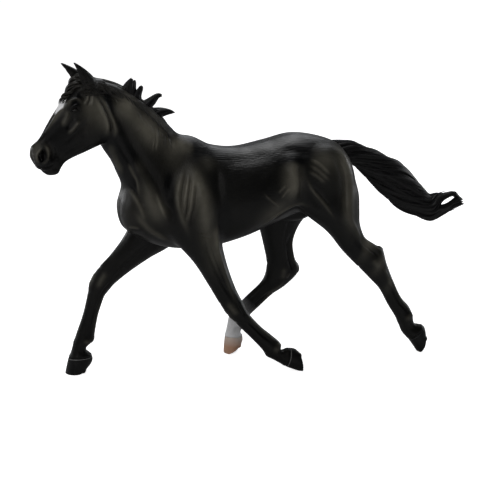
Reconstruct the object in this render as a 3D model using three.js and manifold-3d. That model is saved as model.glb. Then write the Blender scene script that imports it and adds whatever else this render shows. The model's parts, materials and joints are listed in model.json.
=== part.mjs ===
// A moulded model horse, one twentieth of life size: a Standardbred stallion at the pace, standing on its four toes.
// Millimetres. The horse faces -X, its left side is -Y, and the floor is Z = 0.
//
// Each form is a loft through named levels. A level is the outline that a side view shows there, as a front point and
// a back point [x, z], with the side [y] that its middle lies at, and its half width. What is moulded as one is joined
// whole, then parted by thin cuts into the pieces that a person would name.
import * as THREE from "three";
import { LoftGeometry } from "three/addons/geometries/LoftGeometry.js";
import { mergeVertices } from "three/addons/utils/BufferGeometryUtils.js";
import Module from "manifold-3d";

const wasm = await Module();
wasm.setup();
const { Manifold, Mesh } = wasm;

const GAP = 0.24; // between two pieces that meet
const PLACE = [-2.86, 0.25, 0]; // stands the model's box over the origin
const HEAD_TURN = 12; // degrees, to the horse's left
const POLL = [-52, -1.6]; // where the head turns, seen from above
const EYE_RADIUS = 1.15;
const EYE_PLACE = [-62.4, 4.0, 94.0]; // before the head is turned, mirrored for the other eye
const EAR_ROOT = [-56.0, 101.0];
const RIGHT_EAR_PRICK = 8; // degrees that the right ear leans further forward

// ---------------------------------------------------------------- materials

const COAT = new THREE.MeshStandardMaterial({ color: 0x1b1a19, roughness: 0.45, metalness: 0 });
const HAIR = new THREE.MeshStandardMaterial({ color: 0x0f0e0e, roughness: 0.5, metalness: 0 });
const DARK_HORN = new THREE.MeshStandardMaterial({ color: 0x161515, roughness: 0.4, metalness: 0 });
const PALE_HORN = new THREE.MeshStandardMaterial({ color: 0xb08468, roughness: 0.45, metalness: 0 });
const EYE = new THREE.MeshStandardMaterial({ color: 0x050404, roughness: 0.08, metalness: 0 });

// ---------------------------------------------------------------- levels: name, front, back, side, half width, low
// low moves the widest line of the section from its middle towards the back point.

const TRUNK = [
  ["breast", [-45.4, 62.6], [-44.9, 56.5], 0, 3.6, 0],
  ["point of shoulder", [-42.2, 69.0], [-41.0, 50.2], 0, 8.2, 0.1],
  ["shoulder", [-34.0, 76.5], [-33.0, 45.6], 0, 10.4, 0.15],
  ["withers", [-23.0, 82.2], [-22.0, 43.6], 0, 11.2, 0.25],
  ["girth", [-14.0, 78.8], [-13.0, 44.2], 0, 13.0, 0.15],
  ["back", [-5.0, 77.6], [-3.0, 46.6], 0, 14.6, 0.1],
  ["loin", [5.5, 79.2], [6.5, 50.0], 0, 14.4, 0.05],
  ["point of croup", [15.0, 81.0], [16.0, 53.2], 0, 13.4, 0],
  ["croup", [23.6, 79.8], [24.6, 54.0], 0, 12.4, 0],
  ["dock", [30.6, 77.2], [31.4, 58.0], 0, 10.2, 0],
  ["rump", [34.4, 73.4], [34.8, 61.5], 0, 7.4, 0],
];

const NECK = [
  ["root", [-19.0, 76.0], [-38.0, 54.0], 0, 8.0, 0.2],
  ["base", [-25.5, 82.8], [-43.2, 64.6], 0, 7.6, 0.25],
  ["lower", [-29.8, 87.6], [-45.9, 70.0], -0.2, 6.2, 0.15],
  ["middle", [-35.0, 92.4], [-48.2, 75.2], -0.5, 5.2, 0.1],
  ["upper", [-41.2, 97.0], [-51.0, 79.6], -0.9, 4.7, 0.1],
  ["throat", [-47.6, 100.8], [-53.6, 84.0], -1.4, 4.4, 0.05],
  ["nape", [-54.0, 102.6], [-57.0, 88.6], -1.8, 4.0, 0],
];

// The head is drawn straight ahead, and then turned about the poll.
const HEAD = [
  ["nape", [-51.4, 102.6], [-47.6, 93.0], 0, 2.8, 0],
  ["poll", [-56.4, 103.0], [-48.6, 88.4], 0, 4.0, 0.1],
  ["forehead", [-60.6, 100.5], [-50.2, 84.5], 0, 4.6, 0],
  ["eye", [-64.7, 96.2], [-53.2, 81.4], 0, 4.8, 0],
  ["cheek", [-67.9, 92.2], [-57.2, 79.7], 0, 4.2, 0],
  ["face", [-70.9, 88.1], [-61.5, 78.2], 0, 3.3, 0],
  ["bars", [-73.5, 84.8], [-64.8, 76.8], 0, 2.7, 0],
  ["nostril", [-76.2, 82.3], [-66.4, 75.2], 0, 3.0, 0],
  ["lips", [-75.4, 77.6], [-67.8, 73.4], 0, 2.6, 0],
  ["tip", [-73.9, 75.4], [-70.6, 73.4], 0, 1.4, 0],
];

// Mirrored for the right side.
const EAR = [
  ["root", [-58.6, 100.4], [-53.8, 100.6], -2.6, 1.4, 0],
  ["base", [-59.6, 103.0], [-55.0, 103.6], -3.0, 1.6, 0],
  ["middle", [-60.4, 105.0], [-57.4, 106.0], -3.4, 1.3, 0],
  ["upper", [-61.2, 107.0], [-59.6, 107.6], -3.7, 0.8, 0],
  ["tip", [-62.2, 108.6], [-61.7, 108.7], -3.8, 0.3, 0],
];
const EAR_CUP = [
  ["base", [-60.5, 101.8], [-57.6, 102.4], -3.8, 0.75, 0],
  ["middle", [-61.0, 104.6], [-59.5, 105.0], -4.0, 0.6, 0],
  ["end", [-61.8, 107.0], [-61.3, 107.1], -4.0, 0.25, 0],
];

const FORELOCK = [
  ["root", [-58.0, 104.2], [-53.6, 102.8], 0.4, 1.8, 0],
  ["crown", [-60.2, 103.4], [-56.8, 100.2], 0.6, 2.0, 0],
  ["middle", [-62.0, 100.6], [-59.4, 98.4], 0.7, 1.9, 0],
  ["lower", [-64.2, 98.2], [-62.2, 96.2], 0.6, 1.4, 0],
  ["tip", [-65.7, 95.9], [-64.8, 95.0], 0.2, 0.6, 0],
];

const FORE_LEFT = [
  ["blade top", [-25.0, 74.0], [-15.5, 73.0], -5.6, 3.4, 0],
  ["blade", [-31.5, 66.0], [-14.0, 64.0], -7.4, 4.8, 0],
  ["point of shoulder", [-35.0, 57.5], [-12.8, 56.0], -8.2, 5.4, 0],
  ["elbow", [-29.0, 48.2], [-13.4, 48.6], -9.0, 5.0, 0],
  ["forearm", [-23.0, 40.7], [-11.7, 39.6], -9.8, 4.2, 0],
  ["mid forearm", [-18.4, 33.0], [-9.1, 31.6], -10.5, 3.3, 0],
  ["above knee", [-14.4, 25.8], [-7.3, 27.5], -11.2, 2.7, 0],
  ["knee", [-11.2, 21.3], [-5.8, 24.2], -11.6, 2.6, 0],
  ["below knee", [-7.6, 17.2], [-3.8, 20.9], -11.9, 2.1, 0],
  ["cannon", [-3.5, 12.8], [-0.2, 16.8], -12.3, 1.8, 0],
  ["above fetlock", [-0.2, 9.0], [3.5, 13.5], -12.8, 2.0, 0],
  ["fetlock", [1.7, 6.3], [6.4, 10.6], -13.0, 2.4, 0],
  ["pastern", [4.6, 4.4], [6.8, 8.2], -13.1, 2.1, 0],
  ["coronet", [8.3, 2.0], [9.8, 8.4], -13.2, 2.7, 0],
  ["wall", [11.4, 0.5], [12.0, 7.8], -13.2, 3.1, 0],
  ["bearing edge", [14.3, -0.7], [13.3, 6.4], -13.2, 3.2, 0],
];

const FORE_RIGHT = [
  ["blade top", [-26.0, 74.0], [-16.5, 73.0], 5.6, 3.4, 0],
  ["blade", [-33.5, 66.0], [-16.0, 64.0], 7.4, 4.8, 0],
  ["point of shoulder", [-40.0, 58.0], [-18.0, 54.5], 8.2, 5.4, 0],
  ["elbow", [-40.4, 51.0], [-24.6, 43.8], 8.8, 5.0, 0],
  ["forearm", [-42.6, 46.2], [-33.6, 38.7], 9.2, 4.3, 0],
  ["mid forearm", [-46.7, 41.0], [-40.1, 34.7], 9.5, 3.4, 0],
  ["above knee", [-51.3, 36.3], [-45.7, 30.6], 9.7, 2.8, 0],
  ["knee", [-54.3, 31.6], [-49.0, 27.2], 9.8, 2.7, 0],
  ["below knee", [-55.6, 26.0], [-50.6, 23.6], 9.8, 2.2, 0],
  ["cannon", [-57.1, 20.5], [-52.0, 19.3], 9.8, 1.9, 0],
  ["above fetlock", [-59.4, 14.4], [-53.2, 13.6], 9.7, 2.1, 0],
  ["fetlock", [-60.6, 11.0], [-53.6, 11.2], 9.7, 2.5, 0],
  ["pastern", [-61.6, 7.8], [-56.2, 8.6], 9.6, 2.2, 0],
  ["coronet", [-62.6, 5.5], [-54.4, 5.6], 9.6, 2.9, 0],
  ["wall", [-63.3, 2.8], [-54.9, 3.4], 9.6, 3.3, 0],
  ["bearing edge", [-64.0, -0.5], [-55.9, 1.0], 9.6, 3.5, 0],
];

const HIND_LEFT = [
  ["hip", [11.0, 74.5], [30.0, 74.0], -5.4, 3.4, 0],
  ["buttock", [9.0, 68.0], [34.4, 67.5], -7.0, 4.9, 0],
  ["thigh", [11.0, 61.0], [36.6, 60.5], -7.9, 5.8, 0],
  ["stifle", [16.4, 54.6], [36.8, 54.0], -8.4, 5.8, 0],
  ["gaskin", [25.0, 47.4], [37.0, 49.4], -8.6, 4.6, 0],
  ["mid gaskin", [30.9, 40.1], [39.0, 44.4], -8.6, 3.6, 0],
  ["above hock", [35.9, 34.8], [42.9, 41.4], -8.6, 2.9, 0],
  ["hock", [38.4, 32.3], [46.0, 39.2], -8.6, 2.8, 0],
  ["below hock", [42.1, 28.4], [47.5, 34.4], -8.6, 2.6, 0],
  ["upper cannon", [45.3, 24.8], [50.0, 28.3], -8.6, 2.1, 0],
  ["cannon", [48.6, 18.9], [53.4, 21.4], -8.5, 1.9, 0],
  ["above fetlock", [51.2, 14.8], [56.6, 17.6], -8.4, 2.1, 0],
  ["fetlock", [52.8, 11.9], [58.0, 14.8], -8.4, 2.5, 0],
  ["pastern", [54.5, 8.0], [59.2, 11.2], -8.3, 2.2, 0],
  ["coronet", [57.2, 4.9], [62.8, 9.4], -8.3, 2.8, 0],
  ["wall", [59.1, 2.3], [63.6, 7.0], -8.3, 3.1, 0],
  ["bearing edge", [61.1, -0.6], [63.5, 5.0], -8.3, 3.2, 0],
];

const HIND_RIGHT = [
  ["hip", [9.0, 74.5], [29.5, 74.0], 5.4, 3.4, 0],
  ["buttock", [5.0, 68.0], [34.0, 68.0], 7.0, 4.9, 0],
  ["thigh", [3.5, 60.5], [33.0, 60.5], 8.4, 5.8, 0],
  ["stifle", [4.0, 53.0], [29.0, 53.5], 9.2, 5.8, 0],
  ["gaskin", [6.8, 46.0], [22.6, 47.4], 9.8, 4.6, 0],
  ["mid gaskin", [8.5, 39.8], [19.6, 40.6], 10.2, 3.6, 0],
  ["above hock", [9.8, 34.0], [20.2, 34.4], 10.6, 2.9, 0],
  ["hock", [9.9, 30.2], [22.0, 28.6], 10.9, 2.8, 0],
  ["below hock", [9.0, 27.0], [17.4, 23.8], 11.1, 2.6, 0],
  ["upper cannon", [7.2, 24.5], [12.2, 20.6], 11.4, 2.1, 0],
  ["cannon", [3.2, 21.0], [7.6, 16.6], 11.8, 1.9, 0],
  ["above fetlock", [-0.8, 17.0], [3.4, 12.8], 12.2, 2.1, 0],
  ["fetlock", [-3.4, 13.4], [1.7, 9.5], 12.4, 2.5, 0],
  ["pastern", [-4.4, 9.4], [0.8, 7.6], 12.6, 2.2, 0],
  ["coronet", [-5.1, 6.1], [1.3, 5.8], 12.6, 2.8, 0],
  ["wall", [-5.4, 3.0], [1.3, 4.2], 12.6, 3.2, 0],
  ["bearing edge", [-5.6, -0.6], [0.1, 2.4], 12.6, 3.3, 0],
];

// Each leg is parted at three of its own levels.
const LEGS = [
  { name: "foreleg_left", levels: FORE_LEFT, joints: ["elbow", "knee", "coronet"], horn: DARK_HORN },
  { name: "foreleg_right", levels: FORE_RIGHT, joints: ["elbow", "knee", "coronet"], horn: DARK_HORN },
  { name: "hindleg_left", levels: HIND_LEFT, joints: ["stifle", "hock", "coronet"], horn: DARK_HORN },
  { name: "hindleg_right", levels: HIND_RIGHT, joints: ["stifle", "hock", "coronet"], horn: PALE_HORN },
];

// The cuts at the neck's base and behind the cheek: lines in the side view, from below to above.
const NECK_BASE = [[-43.2, 65.0], [-25.2, 82.8]];
const NAPE = [[-50.6, 80.6], [-45.9, 101.5]];

// The tail streams out behind and turns up at its end, where two locks leave a slot between them.
const TAIL = [
  ["dock", [29.5, 77.2], [32.5, 70.4], 0, 2.8, 0],
  ["root", [37.0, 77.4], [37.0, 68.8], 0.3, 3.1, 0],
  ["first lock", [43.2, 74.2], [40.6, 65.8], 0.8, 3.3, 0],
  ["second lock", [49.4, 71.2], [44.6, 61.2], 1.2, 3.5, 0],
  ["third lock", [55.9, 68.6], [49.6, 56.2], 1.5, 3.6, 0],
  ["fourth lock", [61.0, 63.2], [55.2, 51.6], 1.6, 3.4, 0],
  ["fifth lock", [64.6, 58.2], [61.4, 48.2], 1.5, 3.1, 0],
  ["bend", [68.2, 55.2], [68.6, 45.4], 1.2, 2.7, 0],
  ["curl", [71.8, 55.6], [73.6, 47.2], 1.0, 1.9, 0],
  ["end", [77.4, 56.0], [78.0, 49.4], 0.8, 1.4, 0],
  ["tip", [81.4, 52.9], [81.4, 50.6], 0.6, 0.8, 0],
];
const TAIL_SLOT = { centre: [75.2, 1, 54.2], radii: [2.3, 8, 0.8], turn: [-16, -12, -19] };

// Swellings that the levels leave out: centre, three half axes, and a lean in the side view in degrees.
// Each is mirrored to the other side unless its middle lies on the model's own.
const HEAD_BULGES = [
  ["cheek plate", [-55.6, 2.5, 89.4], [5.4, 2.2, 7.6], -24],
  ["orbit", [-62.0, 3.2, 94.6], [3.4, 1.8, 2.4], 40],
  ["nostril", [-73.4, 1.8, 80.2], [2.2, 1.4, 2.6], 30],
  ["chin", [-69.8, 0, 75.2], [2.4, 1.9, 1.9], 0],
];
const TRUNK_BULGES = [
  ["breast", [-41.4, 3.6, 58.8], [4.2, 4.8, 7.8], 8],
  ["haunch", [24.0, 7.6, 66.6], [9.4, 5.4, 9.6], 0],
  ["triceps", [-21.0, 10.0, 59.0], [7.4, 3.6, 8.0], 10],
  ["sheath", [19.0, 0, 53.0], [5.6, 2.6, 2.9], -12],
];

// The mane lies on the right of the neck, and the wind lifts its locks up and back off the crest.
const MANE_CREST = [
  ["bridle path", [-53.6, 103.4], [-53.6, 100.4], -0.6, 1.0, 0],
  ["hump", [-49.4, 102.2], [-50.0, 98.4], -0.2, 1.6, 0],
  ["upper", [-43.6, 99.6], [-44.8, 95.4], 0.4, 1.8, 0],
  ["middle", [-36.4, 94.4], [-38.4, 90.6], 0.7, 1.9, 0],
  ["lower", [-30.6, 89.4], [-32.6, 86.2], 0.6, 1.7, 0],
  ["root", [-26.2, 84.0], [-27.8, 81.4], 0.3, 1.0, 0],
];
const MANE_LOCKS = [
  [
    ["root", [-44.4, 99.2], [-40.6, 96.6], 0.2, 1.0, 0],
    ["middle", [-42.6, 101.2], [-40.4, 99.2], 0.2, 0.8, 0],
    ["tip", [-40.9, 102.6], [-40.1, 101.9], 0.1, 0.4, 0],
  ],
  [
    ["root", [-42.8, 98.6], [-39.4, 95.8], 0.8, 1.0, 0],
    ["middle", [-41.0, 100.4], [-39.3, 98.8], 1.0, 0.7, 0],
    ["tip", [-39.6, 101.6], [-39.0, 101.2], 1.2, 0.4, 0],
  ],
  [
    ["root", [-41.0, 96.8], [-37.4, 94.2], 0.6, 1.2, 0],
    ["middle", [-39.0, 98.2], [-37.4, 96.2], 0.9, 0.9, 0],
    ["tip", [-37.3, 99.8], [-36.3, 99.2], 1.2, 0.5, 0],
  ],
  [
    ["root", [-38.2, 94.2], [-34.0, 91.6], 0.6, 1.2, 0],
    ["middle", [-34.8, 95.6], [-32.8, 93.0], 1.0, 0.9, 0],
    ["end", [-32.0, 96.4], [-31.4, 95.0], 1.4, 0.7, 0],
    ["tip", [-29.9, 96.2], [-30.0, 95.4], 1.6, 0.4, 0],
  ],
  [
    ["root", [-34.8, 91.8], [-31.0, 88.6], 0.5, 1.2, 0],
    ["middle", [-31.2, 92.0], [-30.0, 88.9], 0.8, 0.9, 0],
    ["end", [-28.4, 91.4], [-28.2, 89.4], 1.1, 0.7, 0],
    ["tip", [-25.6, 90.2], [-25.8, 89.7], 1.3, 0.3, 0],
  ],
  ...[0, 1, 2, 3, 4].map(fallenLock),
];

// A lock that lies on the right side of the neck: the nth one down from the poll. Every other one is longer.
function fallenLock(n) {
  const x = -48.5 + 4.4 * n;
  const z = 99.6 - 3.1 * n;
  const y = 0.55 * n;
  const long = n % 2 ? 0.8 : 1.15;
  return [
    ["root", [x - 2.0, z + 1.4], [x + 1.6, z - 1.2], 1.0, 1.2, 0],
    ["shoulder", [x - 0.8, z - 2.2], [x + 3.2, z - 4.0], y + 3.9, 1.3, 0],
    ["middle", [x + 1.8 * long, z - 6.2 * long], [x + 4.8 * long, z - 7.0 * long], y + 5.2, 1.1, 0],
    ["tip", [x + 5.2 * long, z - 10.2 * long], [x + 5.9 * long, z - 9.9 * long], y + 5.9 * long, 0.4, 0],
  ];
}

// ---------------------------------------------------------------- solids

// A closed geometry through the levels, with some rings between them. grow swells it evenly, and boxy squares the
// ellipse of its sections a little.
function loft(levels, { sides = 12, between = 2, grow = 0, boxy = 0 } = {}) {
  const curve = (points) => new THREE.CatmullRomCurve3(points, false, "catmullrom", 0.5);
  const front = curve(levels.map(([, f, , side]) => new THREE.Vector3(f[0], side, f[1])));
  const back = curve(levels.map(([, , b, side]) => new THREE.Vector3(b[0], side, b[1])));
  const girth = curve(levels.map(([, , , , width, low]) => new THREE.Vector3(width, low, 0)));
  const heading = front.getPoint(1).sub(front.getPoint(0)).add(back.getPoint(1)).sub(back.getPoint(0));
  const across = front.getPoint(0.5).sub(back.getPoint(0.5)).cross(new THREE.Vector3(0, 1, 0));
  const hand = Math.sign(across.dot(heading)); // the way round that faces outwards
  const rings = (levels.length - 1) * between;
  const sections = [];
  for (let i = 0; i <= rings; i++) {
    const t = i / rings;
    const f = front.getPoint(t);
    const middle = back.getPoint(t).add(f).multiplyScalar(0.5);
    const depth = f.sub(middle);
    depth.setLength(depth.length() + grow);
    const { x: width, y: low } = girth.getPoint(t);
    const section = [];
    for (let k = 0; k < sides; k++) {
      const angle = (2 * Math.PI * k) / sides;
      const [c, s] = [Math.cos(angle), Math.sin(angle)].map((v) => Math.sign(v) * Math.abs(v) ** (1 - boxy));
      const out = new THREE.Vector3(0, hand * (width + grow) * s, 0);
      section.push(middle.clone().addScaledVector(depth, c - low * (1 - c * c)).add(out));
    }
    sections.push(section);
  }
  return new LoftGeometry(sections, { capStart: true, capEnd: true });
}

// A closed geometry as a solid that can be joined and cut.
function solid(geometry) {
  const bare = new THREE.BufferGeometry().setAttribute("position", geometry.getAttribute("position"));
  bare.setIndex(geometry.index);
  const { index, attributes } = mergeVertices(bare, 1e-4);
  const vertProperties = attributes.position.array;
  return new Manifold(new Mesh({ numProp: 3, vertProperties, triVerts: new Uint32Array(index.array) }));
}

const formed = (levels, options) => solid(loft(levels, options));
const joined = (solids) => solids.reduce((all, s) => all.add(s));
const mirrored = (s) => s.mirror([0, 1, 0]);

// The swellings of a table, each swollen a little more by grow.
function bulges(table, grow = 0) {
  return table.flatMap(([, [x, y, z], radii, lean]) => {
    const ball = new THREE.SphereGeometry(1, 9, 6).rotateX(Math.PI / 2).scale(...radii.map((r) => r + grow));
    const bulge = solid(ball.rotateY(THREE.MathUtils.degToRad(lean)).translate(x, y, z));
    return y === 0 ? [bulge] : [bulge, mirrored(bulge)];
  });
}

// What lies on the left of the line from p to q in the side view, at least clear away from it.
function leftOf(s, p, q, clear = GAP / 2) {
  const normal = new THREE.Vector2(p[1] - q[1], q[0] - p[0]).normalize();
  return s.trimByPlane([normal.x, 0, normal.y], normal.x * p[0] + normal.y * p[1] + clear);
}

// The two sides of a thin cut along the line from p to q.
const parted = (s, [p, q]) => [leftOf(s, p, q), leftOf(s, q, p)];

// Turns a solid about the upright line through the poll, as the head is turned.
function turned(s) {
  const turn = new THREE.Matrix4().makeRotationZ(THREE.MathUtils.degToRad(HEAD_TURN));
  const from = new THREE.Matrix4().makeTranslation(-POLL[0], 0, 0);
  return s.transform(new THREE.Matrix4().makeTranslation(...POLL, 0).multiply(turn).multiply(from).elements);
}

// ---------------------------------------------------------------- pieces

// Each form, and the same form a little larger, which clears a place for what meets it.
const trunk = (grow) => joined([formed(TRUNK, { sides: 18, grow }), ...bulges(TRUNK_BULGES, grow)]);
const neck = (grow) => formed(NECK, { sides: 14, grow });
const skull = (grow) => turned(joined([formed(HEAD, { sides: 14, grow, boxy: 0.2 }), ...bulges(HEAD_BULGES, grow)]));

// An eyeball, half sunk in the head. side is -1 for the left, 1 for the right.
function eyeball(side, grow = 0) {
  const [x, y, z] = EYE_PLACE;
  const ball = new THREE.SphereGeometry(EYE_RADIUS + grow, 10, 7);
  return turned(solid(ball.translate(x, side * y, z)));
}

// An ear with its cup. The right one is pricked further forward.
function ear(side, grow = 0) {
  const left = formed(EAR, { sides: 8, grow }).subtract(formed(EAR_CUP, { sides: 6 }));
  if (side < 0) return turned(left);
  const prick = new THREE.Matrix4().makeRotationY(THREE.MathUtils.degToRad(-RIGHT_EAR_PRICK));
  const [x, z] = EAR_ROOT;
  const there = new THREE.Matrix4().makeTranslation(x, 0, z);
  const back = new THREE.Matrix4().makeTranslation(-x, 0, -z);
  return turned(mirrored(left).transform(there.multiply(prick).multiply(back).elements));
}

// The gap between the two locks that end the tail.
function slot() {
  const { centre, radii, turn } = TAIL_SLOT;
  const [x, y, z] = turn.map(THREE.MathUtils.degToRad);
  const hole = new THREE.SphereGeometry(1, 10, 6).scale(...radii);
  return solid(hole.rotateY(y).rotateX(x).rotateZ(z).translate(...centre));
}

// The pieces by name, with their materials.
function pieces() {
  const all = {};
  const parts = [trunk(), neck(), skull()];
  const hollows = [];
  for (const { name, levels, joints, horn } of LEGS) {
    const [root, joint, coronet] = joints.map((joint) => levels.find(([level]) => level === joint).slice(1, 3));
    const [top, limb] = parted(formed(levels), root);
    const [upper, shank] = parted(limb, joint);
    const [lower, hoof] = parted(shank, coronet);
    parts.push(top);
    hollows.push(leftOf(formed(levels, { grow: GAP }), root[1], root[0], -GAP / 2));
    all[`${name}_upper`] = [upper, COAT];
    all[`${name}_lower`] = [lower, COAT];
    all[`${name}_hoof`] = [hoof.trimByPlane([0, 0, 1], 0), horn];
  }
  const [front, barrel] = parted(joined(parts).subtract(joined(hollows)), NECK_BASE);
  const [head, crest] = parted(front, NAPE);
  const sockets = joined([eyeball(-1, GAP), eyeball(1, GAP)]);
  const bodyRoom = joined([skull(GAP), neck(GAP), trunk(GAP)]);
  const earRoom = joined([ear(-1, GAP), ear(1, GAP)]);
  const locks = MANE_LOCKS.map((levels) => formed(levels, { sides: 6, between: 1 }));
  all.trunk = [barrel, COAT];
  all.neck = [crest, COAT];
  all.head = [head.subtract(sockets), COAT];
  all.eye_left = [eyeball(-1), EYE];
  all.eye_right = [eyeball(1), EYE];
  all.ear_left = [ear(-1).subtract(bodyRoom), COAT];
  all.ear_right = [ear(1).subtract(bodyRoom), COAT];
  all.forelock = [turned(formed(FORELOCK, { sides: 8 })).subtract(bodyRoom).subtract(earRoom), HAIR];
  all.mane = [joined([formed(MANE_CREST, { sides: 8 }), ...locks]).subtract(bodyRoom).subtract(earRoom), HAIR];
  all.tail = [formed(TAIL).subtract(slot()).subtract(bodyRoom), HAIR];
  return all;
}

// ---------------------------------------------------------------- the model

const horse = new THREE.Group();
horse.position.set(...PLACE);
for (const [name, [s, material]] of Object.entries(pieces())) {
  const body = s.decompose().reduce((a, b) => (a.volume() > b.volume() ? a : b));
  const { numProp, vertProperties, triVerts } = body.getMesh();
  const geometry = new THREE.BufferGeometry();
  geometry.setAttribute("position", new THREE.BufferAttribute(vertProperties, numProp));
  geometry.setIndex(new THREE.BufferAttribute(triVerts, 1));
  geometry.computeVertexNormals();
  const mesh = new THREE.Mesh(geometry, material);
  mesh.name = name;
  horse.add(mesh);
}

export default horse;
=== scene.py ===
# %% [markdown]
# # A moulded model horse
#
# The real thing is a solid plastic toy, one twentieth of a pacing Standardbred: satin black, with the
# muscles, veins and hair cut into the mould, and a few touches of grey and white paint. The plain solids
# of the frame say where every part is. This lesson sculpts the finished surface over them, then paints
# it.
#
# Everything is drawn in millimetres, as the solids were, and turned into Blender's metres at the end.

# %% The frame
import json
import math

import bmesh
import bpy
import numpy as np
import openvdb as vdb
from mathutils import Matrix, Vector
from mathutils.bvhtree import BVHTree

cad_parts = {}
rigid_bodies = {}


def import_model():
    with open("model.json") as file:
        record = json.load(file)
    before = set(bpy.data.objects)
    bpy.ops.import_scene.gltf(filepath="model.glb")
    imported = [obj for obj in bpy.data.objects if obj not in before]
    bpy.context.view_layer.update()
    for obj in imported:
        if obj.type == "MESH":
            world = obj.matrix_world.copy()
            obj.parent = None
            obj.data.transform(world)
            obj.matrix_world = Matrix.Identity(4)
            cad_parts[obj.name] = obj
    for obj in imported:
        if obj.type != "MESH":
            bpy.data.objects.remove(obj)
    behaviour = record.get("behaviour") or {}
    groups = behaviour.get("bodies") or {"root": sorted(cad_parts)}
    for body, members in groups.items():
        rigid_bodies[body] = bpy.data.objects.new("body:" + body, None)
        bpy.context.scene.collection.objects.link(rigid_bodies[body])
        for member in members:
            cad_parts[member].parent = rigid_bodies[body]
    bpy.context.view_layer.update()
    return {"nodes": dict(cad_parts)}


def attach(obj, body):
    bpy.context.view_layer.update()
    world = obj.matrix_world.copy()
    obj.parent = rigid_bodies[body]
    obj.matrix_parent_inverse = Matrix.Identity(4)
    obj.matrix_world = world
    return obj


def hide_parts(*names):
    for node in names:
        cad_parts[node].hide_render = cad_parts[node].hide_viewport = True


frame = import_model()
MM = 0.001
PLACE = np.array([-2.86, 0.25, 0.0])  # the drawings' shift in the frame

# %% [markdown]
# ## Camera, lights and floor
#
# A small object is best seen from far off through a long lens, so that its near legs don't look too big.
# The camera stands half a metre away, a little in front of the horse's shoulder and a little above its
# back.

# %% The camera
AIM = np.array([0.0, 0.0, 40.8])  # the middle of the horse, in mm
AZIMUTH = math.radians(-19)
ELEVATION = math.radians(15)
DISTANCE = 500  # mm


def towards(azimuth, elevation):
    """The direction from the horse to whoever looks from there. Azimuth 0 is its left side."""
    flat = math.cos(elevation)
    return np.array([math.sin(azimuth) * flat, -math.cos(azimuth) * flat, math.sin(elevation)])


def stand(thing, place, aim):
    """Puts a camera or light at a place in mm, looking at its aim."""
    thing.location = Vector((np.asarray(place) + PLACE) * MM)
    look = Vector((np.asarray(aim) - np.asarray(place)).tolist())
    thing.rotation_euler = look.to_track_quat("-Z", "Y").to_euler()
    bpy.context.scene.collection.objects.link(thing)


lens = bpy.data.cameras.new("portrait lens")
lens.sensor_width = 36
lens.lens = 104.4
lens.clip_start = 0.01
camera = bpy.data.objects.new("camera", lens)
stand(camera, AIM + DISTANCE * towards(AZIMUTH, ELEVATION), AIM)
bpy.context.scene.camera = camera
print("camera at", [round(v, 3) for v in camera.location])

# %% [markdown]
# Black satin shows its shape only by what it mirrors, and a white room would turn it grey all over. So
# the room is dim. The sky is a sun lamp with a wide angle that stands high behind the horse: it gives the
# back and the croup one broad highlight, and it lights the floor evenly all the way out. Panes beside and
# behind the horse draw the rims. The fill isn't mirrored: it lifts the airbrushed paint and adds no gloss
# to the black. Point lamps would be simpler, but each would show as a hard white dot.

# %% Soft light
SUN = (160, 71, 0.72, 30)  # azimuth, elevation, strength, angle
PANES = [  # name, azimuth, elevation, distance, side, power, mirrored in the coat, colour
    ("overhead", 161, 67, 420, 300, 0.24, True, (0.97, 0.98, 1.0)),
    ("key", -46, 44, 560, 90, 0.14, True, (1.0, 0.98, 0.95)),
    ("glint", -28, 18, 560, 36, 0.05, True, (1.0, 1.0, 1.0)),
    ("fill", -40, 34, 620, 500, 1.45, False, (1.0, 0.99, 0.98)),
    ("front", -100, 14, 560, 200, 0.19, True, (0.96, 0.98, 1.0)),
    ("rim", 150, 40, 560, 260, 0.42, True, (0.95, 0.97, 1.0)),
    ("far left", 106, 8, 640, 300, 0.65, True, (0.97, 0.98, 1.0)),
    ("far right", 216, 4, 640, 260, 0.65, True, (0.97, 0.98, 1.0)),
]


def lamp(name, kind, direction, distance, power, colour=(1, 1, 1)):
    """A lamp that looks at the horse from a direction, given by its azimuth and elevation in degrees."""
    light = bpy.data.lights.new(name, kind)
    light.energy = power
    light.color = colour
    aim = AIM + np.array([0, 0, 10])
    place = aim + distance * towards(*(math.radians(angle) for angle in direction))
    stand(bpy.data.objects.new(name, light), place, aim)
    return light


sky = lamp("sky", "SUN", SUN[:2], 1000, SUN[2])
sky.angle = math.radians(SUN[3])
for name, azimuth, elevation, distance, side, power, mirrored, colour in PANES:
    light = lamp(name, "AREA", (azimuth, elevation), distance, power, colour)
    light.shape = "SQUARE"
    light.size = side * MM
    bpy.data.objects[name].visible_camera = False
    bpy.data.objects[name].visible_glossy = mirrored
print("lamps:", ["sky", *(row[0] for row in PANES)])


# %% [markdown]
# The floor and the world are seen as plain white paper. What the paper throws onto the horse is less than
# what the camera sees of it, or the belly would look lit from below. A Light Path node tells the two
# apart.

# %% The world and the floor
SEEN_PAPER = (0.93, 0.93, 0.93, 1)
LIT_PAPER = (0.33, 0.33, 0.33, 1)
PAPER_GLOW = 0.82
WORLD_TINT = (0.9, 0.94, 1.0, 1)
WORLD_STRENGTH = 0.03


def node(tree, kind, inputs=(), **settings):
    """A new node in a tree, with its settings made and its inputs set or linked, by name or number."""
    made = tree.nodes.new(kind)
    for key, value in settings.items():
        setattr(made, key, value)
    for key, value in dict(inputs).items():
        if isinstance(value, bpy.types.NodeSocket):
            tree.links.new(value, made.inputs[key])
        else:
            made.inputs[key].default_value = value
    return made


def white_to_the_camera(tree, seen, lit):
    """Mixes two shaders: one for the camera's own rays, one for all light that travels on."""
    path = node(tree, "ShaderNodeLightPath")
    return node(tree, "ShaderNodeMixShader", {0: path.outputs["Is Camera Ray"], 1: lit, 2: seen}).outputs[0]


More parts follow.
